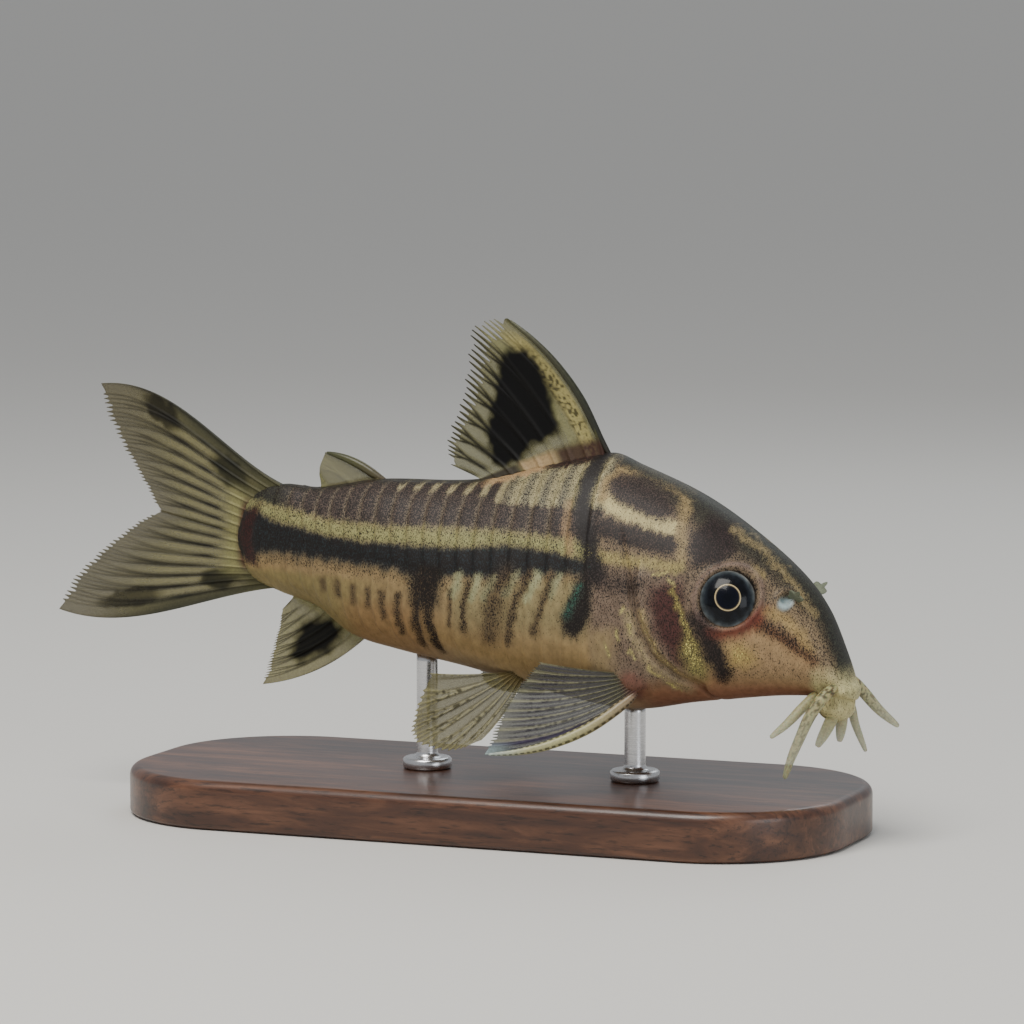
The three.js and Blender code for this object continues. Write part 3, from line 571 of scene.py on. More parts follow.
def paint_skin(points, x, turn, z):
    """The markings of the whole skin."""
    # Each side has noise of its own
    wobble = points + np.sign(np.sin(turn))[:, None] * [0, 0, 40.0]
    # Streaks along the plates feather the edges of the flank's bands
    hair = noise_at(wobble * [1, 0.4, 0.22], 6.5, 4)
    px = x + 0.16 * noise_at(wobble, 1.7, 1) + 0.07 * noise_at(wobble, 6, 2)
    pz = z + 0.12 * noise_at(wobble, 1.9, 3) + 0.17 * hair
    paint = Paint(np.stack([px, pz], -1), "9c855f")
    lay, mark = paint.lay, paint.mark
    phase, _ = plate_phase(x, turn)
    flank = fade(7.9, 8.7, px)
    head = 1 - flank
    top, bottom = back_at(x), belly_at(x)
    height = (z - bottom) / (top - bottom)
    under = smooth(0.5, 0.9, -np.cos(turn))

    # Belly: warm tan, olive towards the tail, pink under the throat
    lay(fade(0.02, 0.4, height), "a48858")
    lay(fade(0.0, 0.12, height), "b59d70", 0.85)
    lay(under * smooth(-12, -5, px), "c2ab86", 0.8)
    lay(fade(-11, -4, px) * fade(14.6, 15.2, pz), "8f8253", 0.8)
    lay(smooth(-10, -8, px) * fade(-5, -1, px) * fade(12.8, 14.2, pz), "9c7a52", 0.7)
    lay(smooth(9, 12, px) * fade(0.06, 0.25, height), "93674f", 0.95)
    paint.marks[:, 0] = 0.05

    # Flank above the cream stripe: dark bars with paler ground between them
    cream_top, cream_bottom, black_bottom = (
        profile(line)(px) for line in (CREAM_TOP, CREAM_BOTTOM, BLACK_BOTTOM)
    )
    above = smooth(cream_top - 0.2, cream_top + 0.2, pz) * flank
    bar = np.abs(phase - 0.55) * 2
    lay(above, "7d7060", ink=0.56)
    lay(above * fade(0.4, 0.95, bar), "5a4a43", 0.9, ink=0.7)
    crown_from = np.interp(px, [-7.5, -6, 0, 1.4, 8], [24, 20.2, 20.1, 19.75, 19.75])
    crown = smooth(crown_from - 0.15, crown_from + 0.2, pz) * flank
    lay(crown * smooth(0.3, 0.75, bar), "a99e78", 0.95, ink=0.34)
    front_crown = crown * smooth(1.2, 2, px)
    lay(front_crown, "a89e78", 0.95, ink=0.44)
    lay(front_crown * fade(0.1, 0.6, bar), "857f6a", 0.8, ink=0.6)
    lay(smooth(top - 0.4, top - 0.04, pz) * flank, "4a4738", 0.85, ink=0.7)
    lay(fade(-14.6, -12.8, px) * above, "3f4233", 0.9, ink=0.7)
    dorsal_foot = smooth(-0.8, 0, px) * fade(6.6, 7.2, px) * smooth(top - 0.6, top - 0.3, pz)
    lay(dorsal_foot * fade(3, 4, px), "b8976f", 0.9, ink=0.3)
    lay(dorsal_foot * smooth(3.2, 4.2, px), "4a2f2a", 0.95, ink=0.7)

    # Cream stripe and black stripe
    cream = smooth(cream_bottom - 0.3, cream_bottom + 0.3, pz) * flank
    cream *= fade(cream_top - 0.35, cream_top + 0.35, pz)
    lay(cream, "999564", ink=0.38)
    lay(cream * fade(0.0, 0.3, np.abs(phase - 0.9)), "8d8360", 0.35, ink=0.42)
    lay(cream * smooth(-2, 5, px), None, gold=0.45)
    feather = 0.07 * np.sin(2 * np.pi * phase)
    black = smooth(black_bottom - 0.45 - feather, black_bottom + 0.55 - feather, pz)
    black *= fade(cream_bottom - 0.3, cream_bottom + 0.3, pz) * flank
    lay(black, "2a3438", ink=0.76)
    edges = ((black_bottom - 0.3, 0.4), (cream_bottom + 0.15, 0.25), (cream_top - 0.15, 0.25))
    for edge, reach in edges:
        lay(bell(pz - edge, reach) * flank, None, 0.9, ink=0.5)
    mark([[-4.2, 15.9], [-1.5, 16], [-2, 13.6], [-3.7, 13.4]], 0, "2e3330", 0.8, 0.7, 0.8)
    fringe = bell(pz - cream_bottom + 0.15, 0.25) + bell(pz - black_bottom - 0.3, 0.35)
    lay(black * fringe * smooth(-8, -3, px), None, teal=0.42)
    arrow = [[-15.6, 18.9], [-16.6, 18.4], [-17.3, 16.8], [-16.6, 15.3], [-15.7, 15], [-16, 16.8]]
    mark(arrow, 0, "44211e", 0.95, 0.3, 0.6)
    for side in (smooth(18.3, 18.9, pz), fade(14.8, 15.3, pz)):
        lay(fade(-16.9, -16.2, px) * side, "7f7c50", 0.9, ink=0.2)

    # Belly bars, with pale green slants at their tops
    front_side = smooth(-1.8, -0.4, px) * smooth(11.5, 13.5, pz) * flank
    lay(front_side * fade(black_bottom - 0.6, black_bottom, pz), "918560", 0.8, ink=0.26)
    for line in GREEN_SLANTS:
        slant = mark(line, 0.26, "a3a57f", 0.8, 0.9, 0.26)
        lay(slant * smooth(14.8, 15.8, pz), None, teal=0.38)
    for line, width, density in BELLY_BARS:
        mark(line, width * 1.15, "5c4a35", 0.8, 1.0, density)
    mark([[8.4, 16], [7.8, 14.3], [7.15, 13.15]], 0.8, "33312e", 0.95, 0.7, 0.85)
    mark([[7.45, 15.3], [7, 14.3], [6.7, 13.6]], 0.3, "2b4f46", 0.8, 0.9, 0.6, teal=0.66)

    # Head: dusky green crown, speckled tan cheek, mauve shoulder
    lay(head * smooth(0.2, 0.45, height), "7f6d57", ink=0.5)
    cheek = head * fade(0.4, 0.6, height) * smooth(0.06, 0.2, height) * smooth(15.6, 16.6, px)
    lay(cheek, "a48865", 0.95, ink=0.33)
    shoulder = head * fade(13, 15.4, px) * fade(15.8, 17, pz) * smooth(9, 10.4, pz)
    lay(shoulder, "7a6859", 0.95, ink=0.42)
    lay(shoulder * fade(9, 10.4, px) * fade(12.4, 13.4, pz), "9a8660", 0.8, ink=0.12)
    lay(head * smooth(17.5, 20, px) * smooth(0.3, 0.6, height), "8d795e", 0.9, ink=0.46)
    crest_from = top - np.interp(px, [9, 14, 18, 21, 23.5], [0.4, 1.1, 1.05, 0.75, 0.45])
    lay(head * smooth(crest_from - 0.9, crest_from + 0.5, pz), "434237", 0.95, ink=0.6)
    for row in NAPE_MARKS:
        mark(*row)
    lay(head * smooth(top - 0.5, top - 0.15, pz), "3d3f35", 0.9, ink=0.6)
    for row in FACE_MARKS:
        mark(*row)
    plate = mark(GOLD_PLATE, 0, "857e4a", 0.85, 0.5, 0.42)
    lay(plate * (0.6 + 0.4 * smooth(10, 12.4, pz)), None, gold=0.82)
    for line in GOLD_FLECKS:
        mark(line, 0.1, "a09562", 0.8, 0.9, 0.2, 0.8)
    for row in CHEEK_MARKS:
        mark(*row)

    # Head: rim and flush of the eye, painted shade in its socket, a painted highlight on the nostril, lips,
    # root of the pectoral fin
    eye = np.hypot(x - EYE_AT[0], z - EYE_AT[1])
    lay(bell(eye - 1.92, 0.2), "86706a", 0.5, ink=0.25)
    loose_eye = np.hypot(px - EYE_AT[0], pz - EYE_AT[1])
    below = (EYE_AT[1] - pz) + 0.5 * (px - EYE_AT[0])
    lay(bell(loose_eye - 2.0, 0.4) * smooth(0.9, 2, below), "7f382b", 0.75, ink=0.2)
    # Painted shade: near-black skin in the sunken eye socket, round the ball
    lay(fade(1.45, 1.66, eye), "141214", ink=0.9)
    # Painted highlight: a pale blue-white shine on the nostril, a little below its centre
    nostril = np.hypot(x - NOSTRIL_AT[0], z - NOSTRIL_AT[1] + 0.25)
    lay(fade(0.25, 0.55, nostril), "a9bfc4", 0.85, ink=0.05)
    lay(head * smooth(20.9, 21.6, px) * fade(9.6, 11.4, pz), "d2c994", 0.92, ink=0.3)
    arm = np.hypot(px - PECTORAL_ROOT[0], pz - PECTORAL_ROOT[1])
    lay(fade(0.5, 1.2, arm), "6f463c", 0.8, ink=0.25)
    return paint


def smooth_union(first, second, blend):
    """The lesser of two distances, rounded where they meet."""
    share = np.clip(0.5 + 0.5 * (second - first) / blend, 0, 1)
    return second + (first - second) * share - blend * share * (1 - share)


def oval_distance(points, centre, size):
    """About how far points lie outside an ellipsoid."""
    away = (points - centre) / size
    reach = np.linalg.norm(away, axis=1) + 1e-9
    return reach * (reach - 1) / (np.linalg.norm(away / size, axis=1) + 1e-9)


def swell_lips(points, out):
    """Moves skin outward until the lips stand on it as one surface."""
    near = np.flatnonzero(points[:, 0] > 20)
    start, way = points[near], out[near]
    found = np.zeros(len(near))
    for reach in np.linspace(2.0, 0.0, 161):
        spot = start + way * reach
        lips = np.minimum(oval_distance(spot, *LOWER_LIP), oval_distance(spot, *UPPER_LIP))
        solid = smooth_union(np.full(len(near), reach), lips, LIP_BLEND) <= 0
        found = np.where((found == 0) & solid, reach, found)
    moved = points.copy()
    moved[near] += way * found[:, None]
    return moved


def build_skin(material):
    """The whole skin of head, trunk and tail in one closed surface."""
    t = (np.arange(1, SKIN_RINGS + 1)) / (SKIN_RINGS + 1)
    x = TAIL_END + (SNOUT_END - TAIL_END) * (0.55 * t + 0.45 * (1 - np.cos(np.pi * t)) / 2)
    turn = np.linspace(-np.pi, np.pi, SKIN_SIDES, endpoint=False)
    grid_x, grid_turn = (part.ravel() for part in np.meshgrid(x, turn, indexing="ij"))
    points = skin_point(grid_x, grid_turn)
    step = 0.01
    along_x = skin_point(grid_x + step, grid_turn) - skin_point(grid_x - step, grid_turn)
    along_turn = skin_point(grid_x, grid_turn + step) - skin_point(grid_x, grid_turn - step)
    out = np.cross(along_turn, along_x)
    out /= np.linalg.norm(out, axis=1)[:, None] + 1e-12
    away = points - np.stack([grid_x, 0 * grid_x, (back_at(grid_x) + belly_at(grid_x)) / 2], -1)
    out *= np.sign(np.einsum("ij,ij->i", out, away))[:, None]
    lift = relief(grid_x, grid_turn, points[:, 2])
    lift = np.minimum(lift, 0.8 * half_width_at(grid_x))
    shaped = swell_lips(points + out * lift[:, None], out)
    tail, snout = ([end, 0, float(back_at(end) + belly_at(end)) / 2] for end in (TAIL_END, SNOUT_END))
    paint = paint_skin(points, grid_x, grid_turn, points[:, 2])
    paint.colour *= SKIN_TONE
    colour, marks = (np.vstack([part[:1], part, part[-1:]]) for part in (paint.colour, paint.marks))
    everything = bend(np.vstack([[tail], shaped, [snout]]))
    faces = tube_faces(SKIN_RINGS, SKIN_SIDES)
    make_mesh("skin", everything, faces, material, ["head", "trunk", "tail"], colour, marks)


# Eyes
EYE_RING = 0.76
EYE_TONES = [
    (0.0, "04060d"), (EYE_RING - 0.045, "060a17"), (EYE_RING - 0.012, "cdb98c"),
    (EYE_RING + 0.012, "cdb98c"), (EYE_RING + 0.045, "06070b"), (1.2, "0a0d13"), (1.38, "171b20"),
    (1.5, "30363a"), (1.6, "50575a"), (1.68, "6b6b68"),
]


def build_eye(name, side, material):
    """A dark ball with a thin pale ring, seated in its socket."""
    seat, turn = skin_place(*EYE_AT, side)
    rings = sides = 96
    share, around = tube_places(rings, sides)
    radius = EYE_RADIUS * np.sin(np.pi * share)
    ball = np.stack([
        radius * np.cos(around), radius * np.sin(around), EYE_BULGE * np.cos(np.pi * share) - EYE_SINK,
    ], -1)
    mottle = 1 + 0.9 * noise_at(np.stack([5 * np.cos(around), 5 * np.sin(around), 4 * radius], -1), 1, 0)
    mottle = np.where(radius > EYE_RING + 0.2, mottle, 1)
    make_mesh(
        f"eye_{name}", bend(seat + ball @ turn.T), tube_faces(rings, sides), material,
        [f"eye_{name}"], tones_at(radius, *zip(*EYE_TONES)) * mottle[:, None],
    )


# Fins
SPINE_TIP = 0.14
WEB_THICK, RAY_THICK = 0.12, 0.2
WEB_COLUMNS, WEB_ROWS = 36, 110


class Fin:
    """A fan of rays between a base curve and a margin curve, as in the solids."""

    def __init__(self, base, margin, rays, sunk, bow, peak=0.5, curl=0.0):
        self.base, self.margin, self.rays = base, margin, rays
        self.sunk, self.bow, self.peak, self.curl = sunk, bow, peak, curl
        ends = catmull(base, [0, 1])
        reach = catmull(margin, [0.4])[0] - catmull(base, [0.5])[0]
        across = np.cross(ends[1] - ends[0], reach)
        self.across = across / np.linalg.norm(across)

    def at(self, u, v):
        foot = catmull(self.base, u)
        chord = catmull(self.margin, u) - foot
        forward = np.cross(self.across, chord)
        open_share = np.maximum(v, 0)
        # A bow that is highest, and 1, at the peak
        late = 1 - self.peak
        arch = (open_share / self.peak) ** (self.peak / late) * (1 - open_share) / late
        bulge = arch * (self.bow[0] + (self.bow[1] - self.bow[0]) * u)
        return (foot + chord * v[:, None] + forward * bulge[:, None]
                + self.across * (self.curl * (1 - u ** 2) * open_share ** 2)[:, None])


def ray_wave(u, v, rays):
    """1 on a ray and 0 in the web between rays. Each ray forks twice on its outer part."""
    place = u * (rays - 1)
    offset = place - np.round(place)
    edge = (place < 0.5) | (place > rays - 1.5)
    first = np.where(edge, 0, 0.25 * smooth(0.35, 1, v))
    second = np.where(edge, 0, 0.125 * smooth(0.62, 1, v))
    width = 0.13 - 0.075 * smooth(0.4, 1, v)
    branch = np.abs(np.abs(np.abs(offset) - first) - second)
    return bell(branch, width), offset


def build_web(name, fin, material, paint_on, fray, swell, blunt=0.0):
    """A fin's thin closed sheet, with ridged, forking rays and a frayed edge."""
    columns, rows = WEB_COLUMNS * (fin.rays - 1), WEB_ROWS
    u = np.tile(np.linspace(0, 1, columns + 1), rows + 1)
    raw = np.repeat(-fin.sunk + (1 + fin.sunk) * np.linspace(0, 1, rows + 1), columns + 1)
    wave, between = ray_wave(u, np.clip(raw, 0, 1), fin.rays)
    edge_wave, _ = ray_wave(u, np.ones_like(raw), fin.rays)
    tatter = np.array([noise.noise(Vector((a * fin.rays * 3.1, 7.7, 0.3))) for a in u])
    notch = fray * (1 - edge_wave + 0.4 * (tatter + 0.3)) * smooth(0, 0.16, u)
    notch += blunt * fade(0, 0.14, u)
    v = raw * (1 - np.maximum(raw, 0) ** 6 * notch)
    middle = fin.at(u, v)
    open_share = np.clip(v, 0, 1)
    thick = WEB_THICK + RAY_THICK * wave * (1 - 0.65 * open_share) + swell * np.exp(-10 * open_share)
    thick *= 1 - 0.5 * smooth(0.85, 1, open_share)
    ripple = 0.05 * np.sin(np.pi * u * (fin.rays - 1)) * open_share
    points = np.vstack([
        middle + fin.across * offset[:, None] for offset in (ripple + thick / 2, ripple - thick / 2)
    ])
    stride, count = columns + 1, (columns + 1) * (rows + 1)
    faces = []
    for j in range(rows):
        for i in range(columns):
            a = j * stride + i
            faces.append((a, a + stride, a + stride + 1, a + 1))
            faces.append((a + count, a + count + 1, a + count + stride + 1, a + count + stride))
    border = list(range(stride))
    border += [j * stride + columns for j in range(1, rows + 1)]
    border += [rows * stride + i for i in range(columns - 1, -1, -1)]
    border += [j * stride for j in range(rows - 1, 0, -1)]
    for a, b in zip(border, border[1:] + border[:1]):
        faces.append((a, b, b + count, a + count))
    colour, lay = layered(len(u))
    paint_on(lay, u, open_share, wave, between, middle)
    make_mesh(name + "_web", bend(points), faces, material, [name], np.vstack([colour, colour]))


def build_taper(name, line, radii, material, nodes, colour_at, across, rings=70, sides=24):
    """A round tapering piece along a curve, with rounded ends."""
    share, around = tube_places(rings, sides)
    tangent = catmull(line, np.minimum(share + 0.01, 1)) - catmull(line, np.maximum(share - 0.01, 0))
    tangent /= np.linalg.norm(tangent, axis=1)[:, None]
    first = np.cross(tangent, across)
    first /= np.linalg.norm(first, axis=1)[:, None]
    out = first * np.cos(around)[:, None] + np.cross(tangent, first) * np.sin(around)[:, None]
    radius = np.interp(share, np.linspace(0, 1, len(radii)), radii)
    radius *= np.clip(np.sin(np.pi * share), 0, 1) ** 0.2
    make_mesh(
        name, bend(catmull(line, share) + radius[:, None] * out), tube_faces(rings, sides),
        material, nodes, colour_at(share, around),
    )


def layered(count):
    """Colour and cover for a fin's points, and a function that lays more over them."""
    colour = np.zeros((count, 4))

    def lay(mask, shade, alpha, strength=1.0):
        cover = np.clip(np.broadcast_to(mask * strength, count), 0, 1)[:, None]
        colour[:] = colour * (1 - cover) + np.append(rgb(shade), alpha) * cover

    return colour, lay


def blot(flat, centre, size, tilt):
    """A soft oval, as a mask."""
    away = flat - centre
    c, s = math.cos(tilt), math.sin(tilt)
    along = (away[:, 0] * c + away[:, 1] * s) / size[0]
    aside = (away[:, 1] * c - away[:, 0] * s) / size[1]
    return fade(0.65, 1.15, np.hypot(along, aside))


DORSAL_BLOTCH = [
    [0.7, 28.9], [2, 28.9], [2.95, 27.7], [3.45, 26.6], [3.8, 25.1], [4.05, 24], [2.9, 23.3], [2.1, 23],
    [1.7, 22.2], [0.5, 21.7], [-0.2, 22], [-0.6, 23.4], [-0.4, 25], [0, 26.6], [0.1, 27.7],
]
ANAL_BLOTCH = [
    [-12.9, 11.6], [-11.9, 11.9], [-10.9, 12], [-10.4, 11.4], [-10.4, 10.8], [-11.2, 9.8], [-12, 9.6],
    [-13.3, 9], [-13.8, 9.5], [-13.5, 10.6],
]
# Soft ovals: centre, half sizes, tilt, colour, cover, strength
CAUDAL_BLOTS = [
    ((-22.9, 24.3), (1.7, 0.8), 2.5, "15130f", 0.97, 0.85),
    ((-17.9, 20.7), (1.8, 0.9), 2.5, "1a1b14", 0.98, 0.9),
    ((-18.7, 14), (1.5, 0.75), 0.1, "1a1b14", 0.98, 0.9),
    ((-25.4, 12.4), (2.6, 0.6), 0.2, "1c1a14", 0.95, 0.7),
]


def ragged(middle, size, scale, seed):
    """Places seen from the side, shaken by noise."""
    shake = [noise_at(middle, scale, seed), noise_at(middle, scale, seed + 1)]
    return middle[:, [0, 2]] + size * np.stack(shake, -1)


def dorsal_colours(lay, u, v, wave, offset, middle):
    flat = ragged(middle, 0.18, 2.6, 5)
    lay(1, "77734c", 0.55)
    lay(bell(offset, 0.2), "7d794e", 0.6, 0.5)
    behind = smooth(0.14, 0.24, u)
    dark_ray = np.maximum(wave, bell(offset, 0.2) * fade(0.5, 0.8, v))
    lay(dark_ray * behind * smooth(0.1, 0.3, v), "16140f", 0.95, 0.95)
    speck = smooth(-0.05, 0.3, noise_at(middle, 5.5, 8))
    front = fade(0.12, 0.18, u) * smooth(0.03, 0.06, u)
    lay(front * fade(0.75, 0.95, v), "a29760", 0.88, 0.85)
    lay(front * speck * fade(0.5, 0.9, v), "2c2818", 0.95, 0.85)
    lay(bell(u - 0.19, 0.03) * fade(0.85, 1, v), "8a875c", 0.8, 0.8)
    lay(inside(flat, DORSAL_BLOTCH, 0.3), "050506", 1.0, 1.0)
    lay(inside(flat, DORSAL_BLOTCH, 1.3) * (0.3 + 0.7 * dark_ray), "0c0b0a", 0.97, 1.0)
    lay(fade(0.0, 0.05, u), "3f402b", 0.95, 0.9)
    base = fade(0.06, 0.13, v)
    lay(base * fade(0.3, 0.4, u), "3b2522", 1.0, 0.9)
    lay(base * smooth(0.3, 0.4, u) * fade(0.6, 0.68, u), "a08764", 1.0, 0.9)
    lay(base * smooth(0.62, 0.7, u), "2a2422", 1.0, 0.9)


def caudal_colours(lay, u, v, wave, offset, middle):
    flat = ragged(middle, 0.25, 1.8, 6)
    lay(1, "68623f", 0.7)
    pale = bell(np.abs(offset) - 0.42, 0.13)
    lay(pale * smooth(0.1, 0.25, v) * fade(0.5, 0.8, v), "857e54", 0.75, 0.7)
    lay(smooth(0.62, 0.95, v), "625b43", 0.66, 0.8)
    streak = bell(offset, 0.2) * fade(0.55, 0.9, v)
    gate = 0.85 + 0.5 * noise_at(middle * [0.35, 1, 1.6], 1.3, 9)
    lay(streak * smooth(0.16, 0.32, v) * gate, "1c1a13", 0.93, 1.0)
    lay(wave * smooth(0.4, 0.65, v) * (1 - 0.5 * smooth(0.8, 1, v)) * gate, "2a2619", 0.85, 0.75)
    lay(fade(0.05, 0.2, u) * fade(0.45, 0.9, v), "34352a", 0.95, 0.85)
    for centre, size, tilt, shade, cover, strength in CAUDAL_BLOTS:
        lay(blot(flat, centre, size, tilt), shade, cover, strength)
    lay(bell(v - 0.12, 0.08) * smooth(0.25, 0.5, u), "8f8b5c", 0.95, 0.75)
    lay(fade(0.03, 0.1, v) * smooth(0.35, 0.6, u), "4a2622", 1.0, 0.85)
    lay(fade(0.05, 0.2, v) * fade(0.3, 0.5, u), "4c4a33", 1.0, 0.9)


def anal_colours(lay, u, v, wave, offset, middle):
    flat = ragged(middle, 0.16, 2.4, 7)
    lay(1, "8a8459", 0.7)
    lay(fade(0.0, 0.25, v), "8e8a5a", 0.9, 0.8)
    lay(wave * smooth(0.2, 0.4, v), "2e2b1f", 0.85, 0.6)
    dark_ray = bell(offset, 0.25)
    lay(inside(flat, ANAL_BLOTCH, 0.45) * (0.85 + 0.15 * dark_ray), "0c0c0b", 1.0, 1.15)
    lay(inside(flat, ANAL_BLOTCH, 1.3) * dark_ray, "17160f", 0.95, 0.8)


def adipose_colours(lay, u, v, wave, offset, middle):
    lay(1, "6f6a42", 0.6)
    lay(fade(0.0, 0.15, v), "4a4435", 0.98, 0.7)
    lay(smooth(0.8, 1, u), "6d6c44", 0.85, 0.7)


def pectoral_colours(lay, u, v, wave, offset, middle):
    lay(1, "4d4d44", 0.62)
    lay(bell(offset, 0.16), "8f8c6e", 0.75, 0.75)
    beside = bell(np.abs(offset) - 0.28, 0.1) * smooth(0.1, 0.25, v) * fade(0.8, 1, v)
    lay(beside, "3f3b4a", 0.88, 0.75)
    dots = smooth(0.0, 0.2, noise_at(middle, 5.5, 12))
    lay(wave * dots * smooth(0.2, 0.35, v) * fade(0.75, 0.95, v), "2f2b33", 0.92, 0.8)
    lay(bell(u - 0.085, 0.025) * smooth(0.02, 0.1, v), "383048", 0.95, 0.9)
    lay(fade(0.03, 0.13, u) * smooth(0.8, 1, v), "93a4a6", 0.9, 0.8)
    lay(fade(0.02, 0.12, v), "6b4640", 0.95, 0.8)


def pelvic_colours(lay, u, v, wave, offset, middle):
    lay(1, "6c6646", 0.62)
    lay(wave, "9a9364", 0.72, 0.6)
    beside = bell(np.abs(offset) - 0.2, 0.07) * smooth(0.1, 0.3, v) * fade(0.75, 1, v)
    lay(beside, "4f4930", 0.85, 0.7)
    dots = smooth(0.0, 0.25, noise_at(middle, 4.5, 14))
    lay(wave * dots * smooth(0.3, 0.45, v) * fade(0.8, 0.97, v), "2e2a1c", 0.92, 0.85)
    lay(fade(0.02, 0.14, v), "7d6c45", 0.95, 0.7)


def spine_colours(tones, dots):
    """Colours along a spine, with a dotted dark line along both its edges."""
    def colour_at(share, around):
        dotted = (np.abs(np.abs(np.cos(around)) - 0.78) < 0.12) & (np.sin(share * 170) > -0.3)
        shade = tones_at(share, np.linspace(0, 1, len(tones)), tones)
        return shade * np.where(dotted, 1 - dots, 1)[:, None]

    return colour_at


FORK_BASE = (-17, 16.85)
FORK_NOTCH = (-23.1, 18.1)
FORK_GAP = -0.04
LOBE_PEAK = 2 / 3
BLUNT_TIP = 0.015
CAUDAL_WEB = (caudal_colours, 0.035, 0.5, BLUNT_TIP)
PECTORAL, PECTORAL_WEB = dict(rays=10, sunk=0.2, bow=(0.1, 0.02)), (pectoral_colours, 0.035, 0.35)
DORSAL_SPINE = (0.24, ("2c2520", "24251b", "2f3020", "3c3b28", "56573f"), 0.35, -0.12)
PECTORAL_SPINE = (0.36, ("6a4638", "8f8060", "a49f72", "a6a37a", "a0aca4"), 0.75, 0.0)
PELVIC, PELVIC_WEB = dict(rays=7, sunk=0.2, bow=(0.05, 0.02)), (pelvic_colours, 0.035, 0.35)
# Each fin's shape, its web (colours, fray, swell at the base, bluntness), and its spine (radius,
# tones, strength of the dots, start as a share of its length before or after the base)
FINS = {
    "dorsal_fin": (dict(
        base=[[7.1, 0, 22.7], [3, 0, 21.9], [-0.8, 0, 20.9]],
        margin=[
            [0.7, 0, 30.75], [-1.3, 0, 30.6], [-1.9, 0, 28.9], [-2.1, 0, 26.8],
            [-2.8, 0, 24.9], [-3.3, 0, 23.2], [-3.1, 0, 21.8],
        ],
        rays=9, sunk=0.12, bow=(0.085, 0),
    ), (dorsal_colours, 0.15, 0.75), DORSAL_SPINE),
    "adipose_fin": (dict(
        base=[[-7.7, 0, 20.7], [-11.6, 0, 20.1]],
        margin=[[-11.4, 0, 22.2], [-11.7, 0, 21.5], [-11.8, 0, 20.9]],
        rays=3, sunk=0.2, bow=(0.06, 0),
    ), (adipose_colours, 0.0, 0.2), (0.3, ("4f4431", "4a4a2c", "3e4028"), 0.35, -0.12)),
    "anal_fin": (dict(
        base=[[-8.6, 0, 11], [-11, 0, 12.2], [-13.5, 0, 13.2]],
        margin=[[-15.9, 0, 7.55], [-15.5, 0, 8.7], [-15.1, 0, 9.9], [-14.7, 0, 11.1], [-14.4, 0, 12.3]],
        rays=8, sunk=0.2, bow=(0.08, 0),
    ), (anal_colours, 0.05, 0.4, BLUNT_TIP), None),
    "caudal_fin_upper": (dict(
        base=[[-14.3, 0, 20], [-16.3, 0, 18.8], [FORK_BASE[0], 0, FORK_BASE[1] + FORK_GAP]],
        margin=[
            [-27.7, 0, 25.85], [-26.9, 0, 23.7], [-25.6, 0, 21.6], [-24.3, 0, 19.8],
            [FORK_NOTCH[0], 0, FORK_NOTCH[1] + FORK_GAP],
        ],
        rays=9, sunk=0.12, bow=(0.09, 0), peak=LOBE_PEAK, curl=0.4,
    ), CAUDAL_WEB, None),
    "caudal_fin_lower": (dict(
        base=[[-14.6, 0, 13.7], [-16.4, 0, 14.8], [FORK_BASE[0], 0, FORK_BASE[1] - FORK_GAP]],
        margin=[
            [-31, 0, 11.45], [-29.6, 0, 13.5], [-27.6, 0, 15.3], [-25.4, 0, 16.9],
            [FORK_NOTCH[0], 0, FORK_NOTCH[1] - FORK_GAP],
        ],
        rays=9, sunk=0.12, bow=(0.06, 0), peak=LOBE_PEAK, curl=-0.4,
    ), CAUDAL_WEB, None),
    "pectoral_fin_right": (dict(
        base=[[11, -5, 9.2], [10.3, -4.9, 10.2]],
        margin=[[3.3, -10, 5.7], [3.7, -9.4, 7.3], [4, -8.9, 8.5], [4.8, -8, 9.8], [5.6, -7.4, 11]],
        **PECTORAL,
    ), PECTORAL_WEB, PECTORAL_SPINE),
    "pectoral_fin_left": (dict(
        base=[[11, 5, 9.5], [10.1, 4.9, 10.2]],
        margin=[[3.6, 10.6, 8.6], [3.4, 9.6, 9.2], [3.6, 8.8, 9.8], [4.3, 7.8, 10.4], [5.4, 7.3, 11]],
        **PECTORAL,
    ), PECTORAL_WEB, PECTORAL_SPINE),
    "pelvic_fin_right": (dict(
        base=[[2.9, -3.2, 9.1], [1.9, -3.6, 9.7]],
        margin=[[1.2, -5.4, 5.8], [-0.6, -5.8, 5.1], [-2.9, -6, 5.6], [-3.1, -5.6, 7.2], [-2.4, -4.9, 9.6]],
        **PELVIC,
    ), PELVIC_WEB, None),
    "pelvic_fin_left": (dict(
        base=[[2.9, 3.2, 9.1], [1.9, 3.6, 9.7]],
        margin=[[0.4, 6.2, 7], [-1.4, 6.6, 6.9], [-3.4, 6.7, 7.3], [-3.6, 6.2, 8.2], [-2.8, 5.4, 9.6]],
        **PELVIC,
    ), PELVIC_WEB, None),
}


def build_spine(name, fin, material, radius, tones, dots, start):
    """A spine along a fin's leading edge."""
    shares = np.array([start, 0.1, 0.35, 0.6, 0.8, 0.98])
    line = fin.at(np.zeros(len(shares)), shares)
    radii = (radius * 0.8, radius, radius * 0.9, radius * 0.7, SPINE_TIP)
    colours = spine_colours(tones, dots)
    build_taper(name + "_spine", line, radii, material, [], colours, fin.across, rings=200)


def build_fins(web_look, spine_look):
    for name, (shape, web, spine) in FINS.items():
        fin = Fin(**shape)
        build_web(name, fin, web_look, *web)
        if spine:
            build_spine(name, fin, spine_look, *spine)


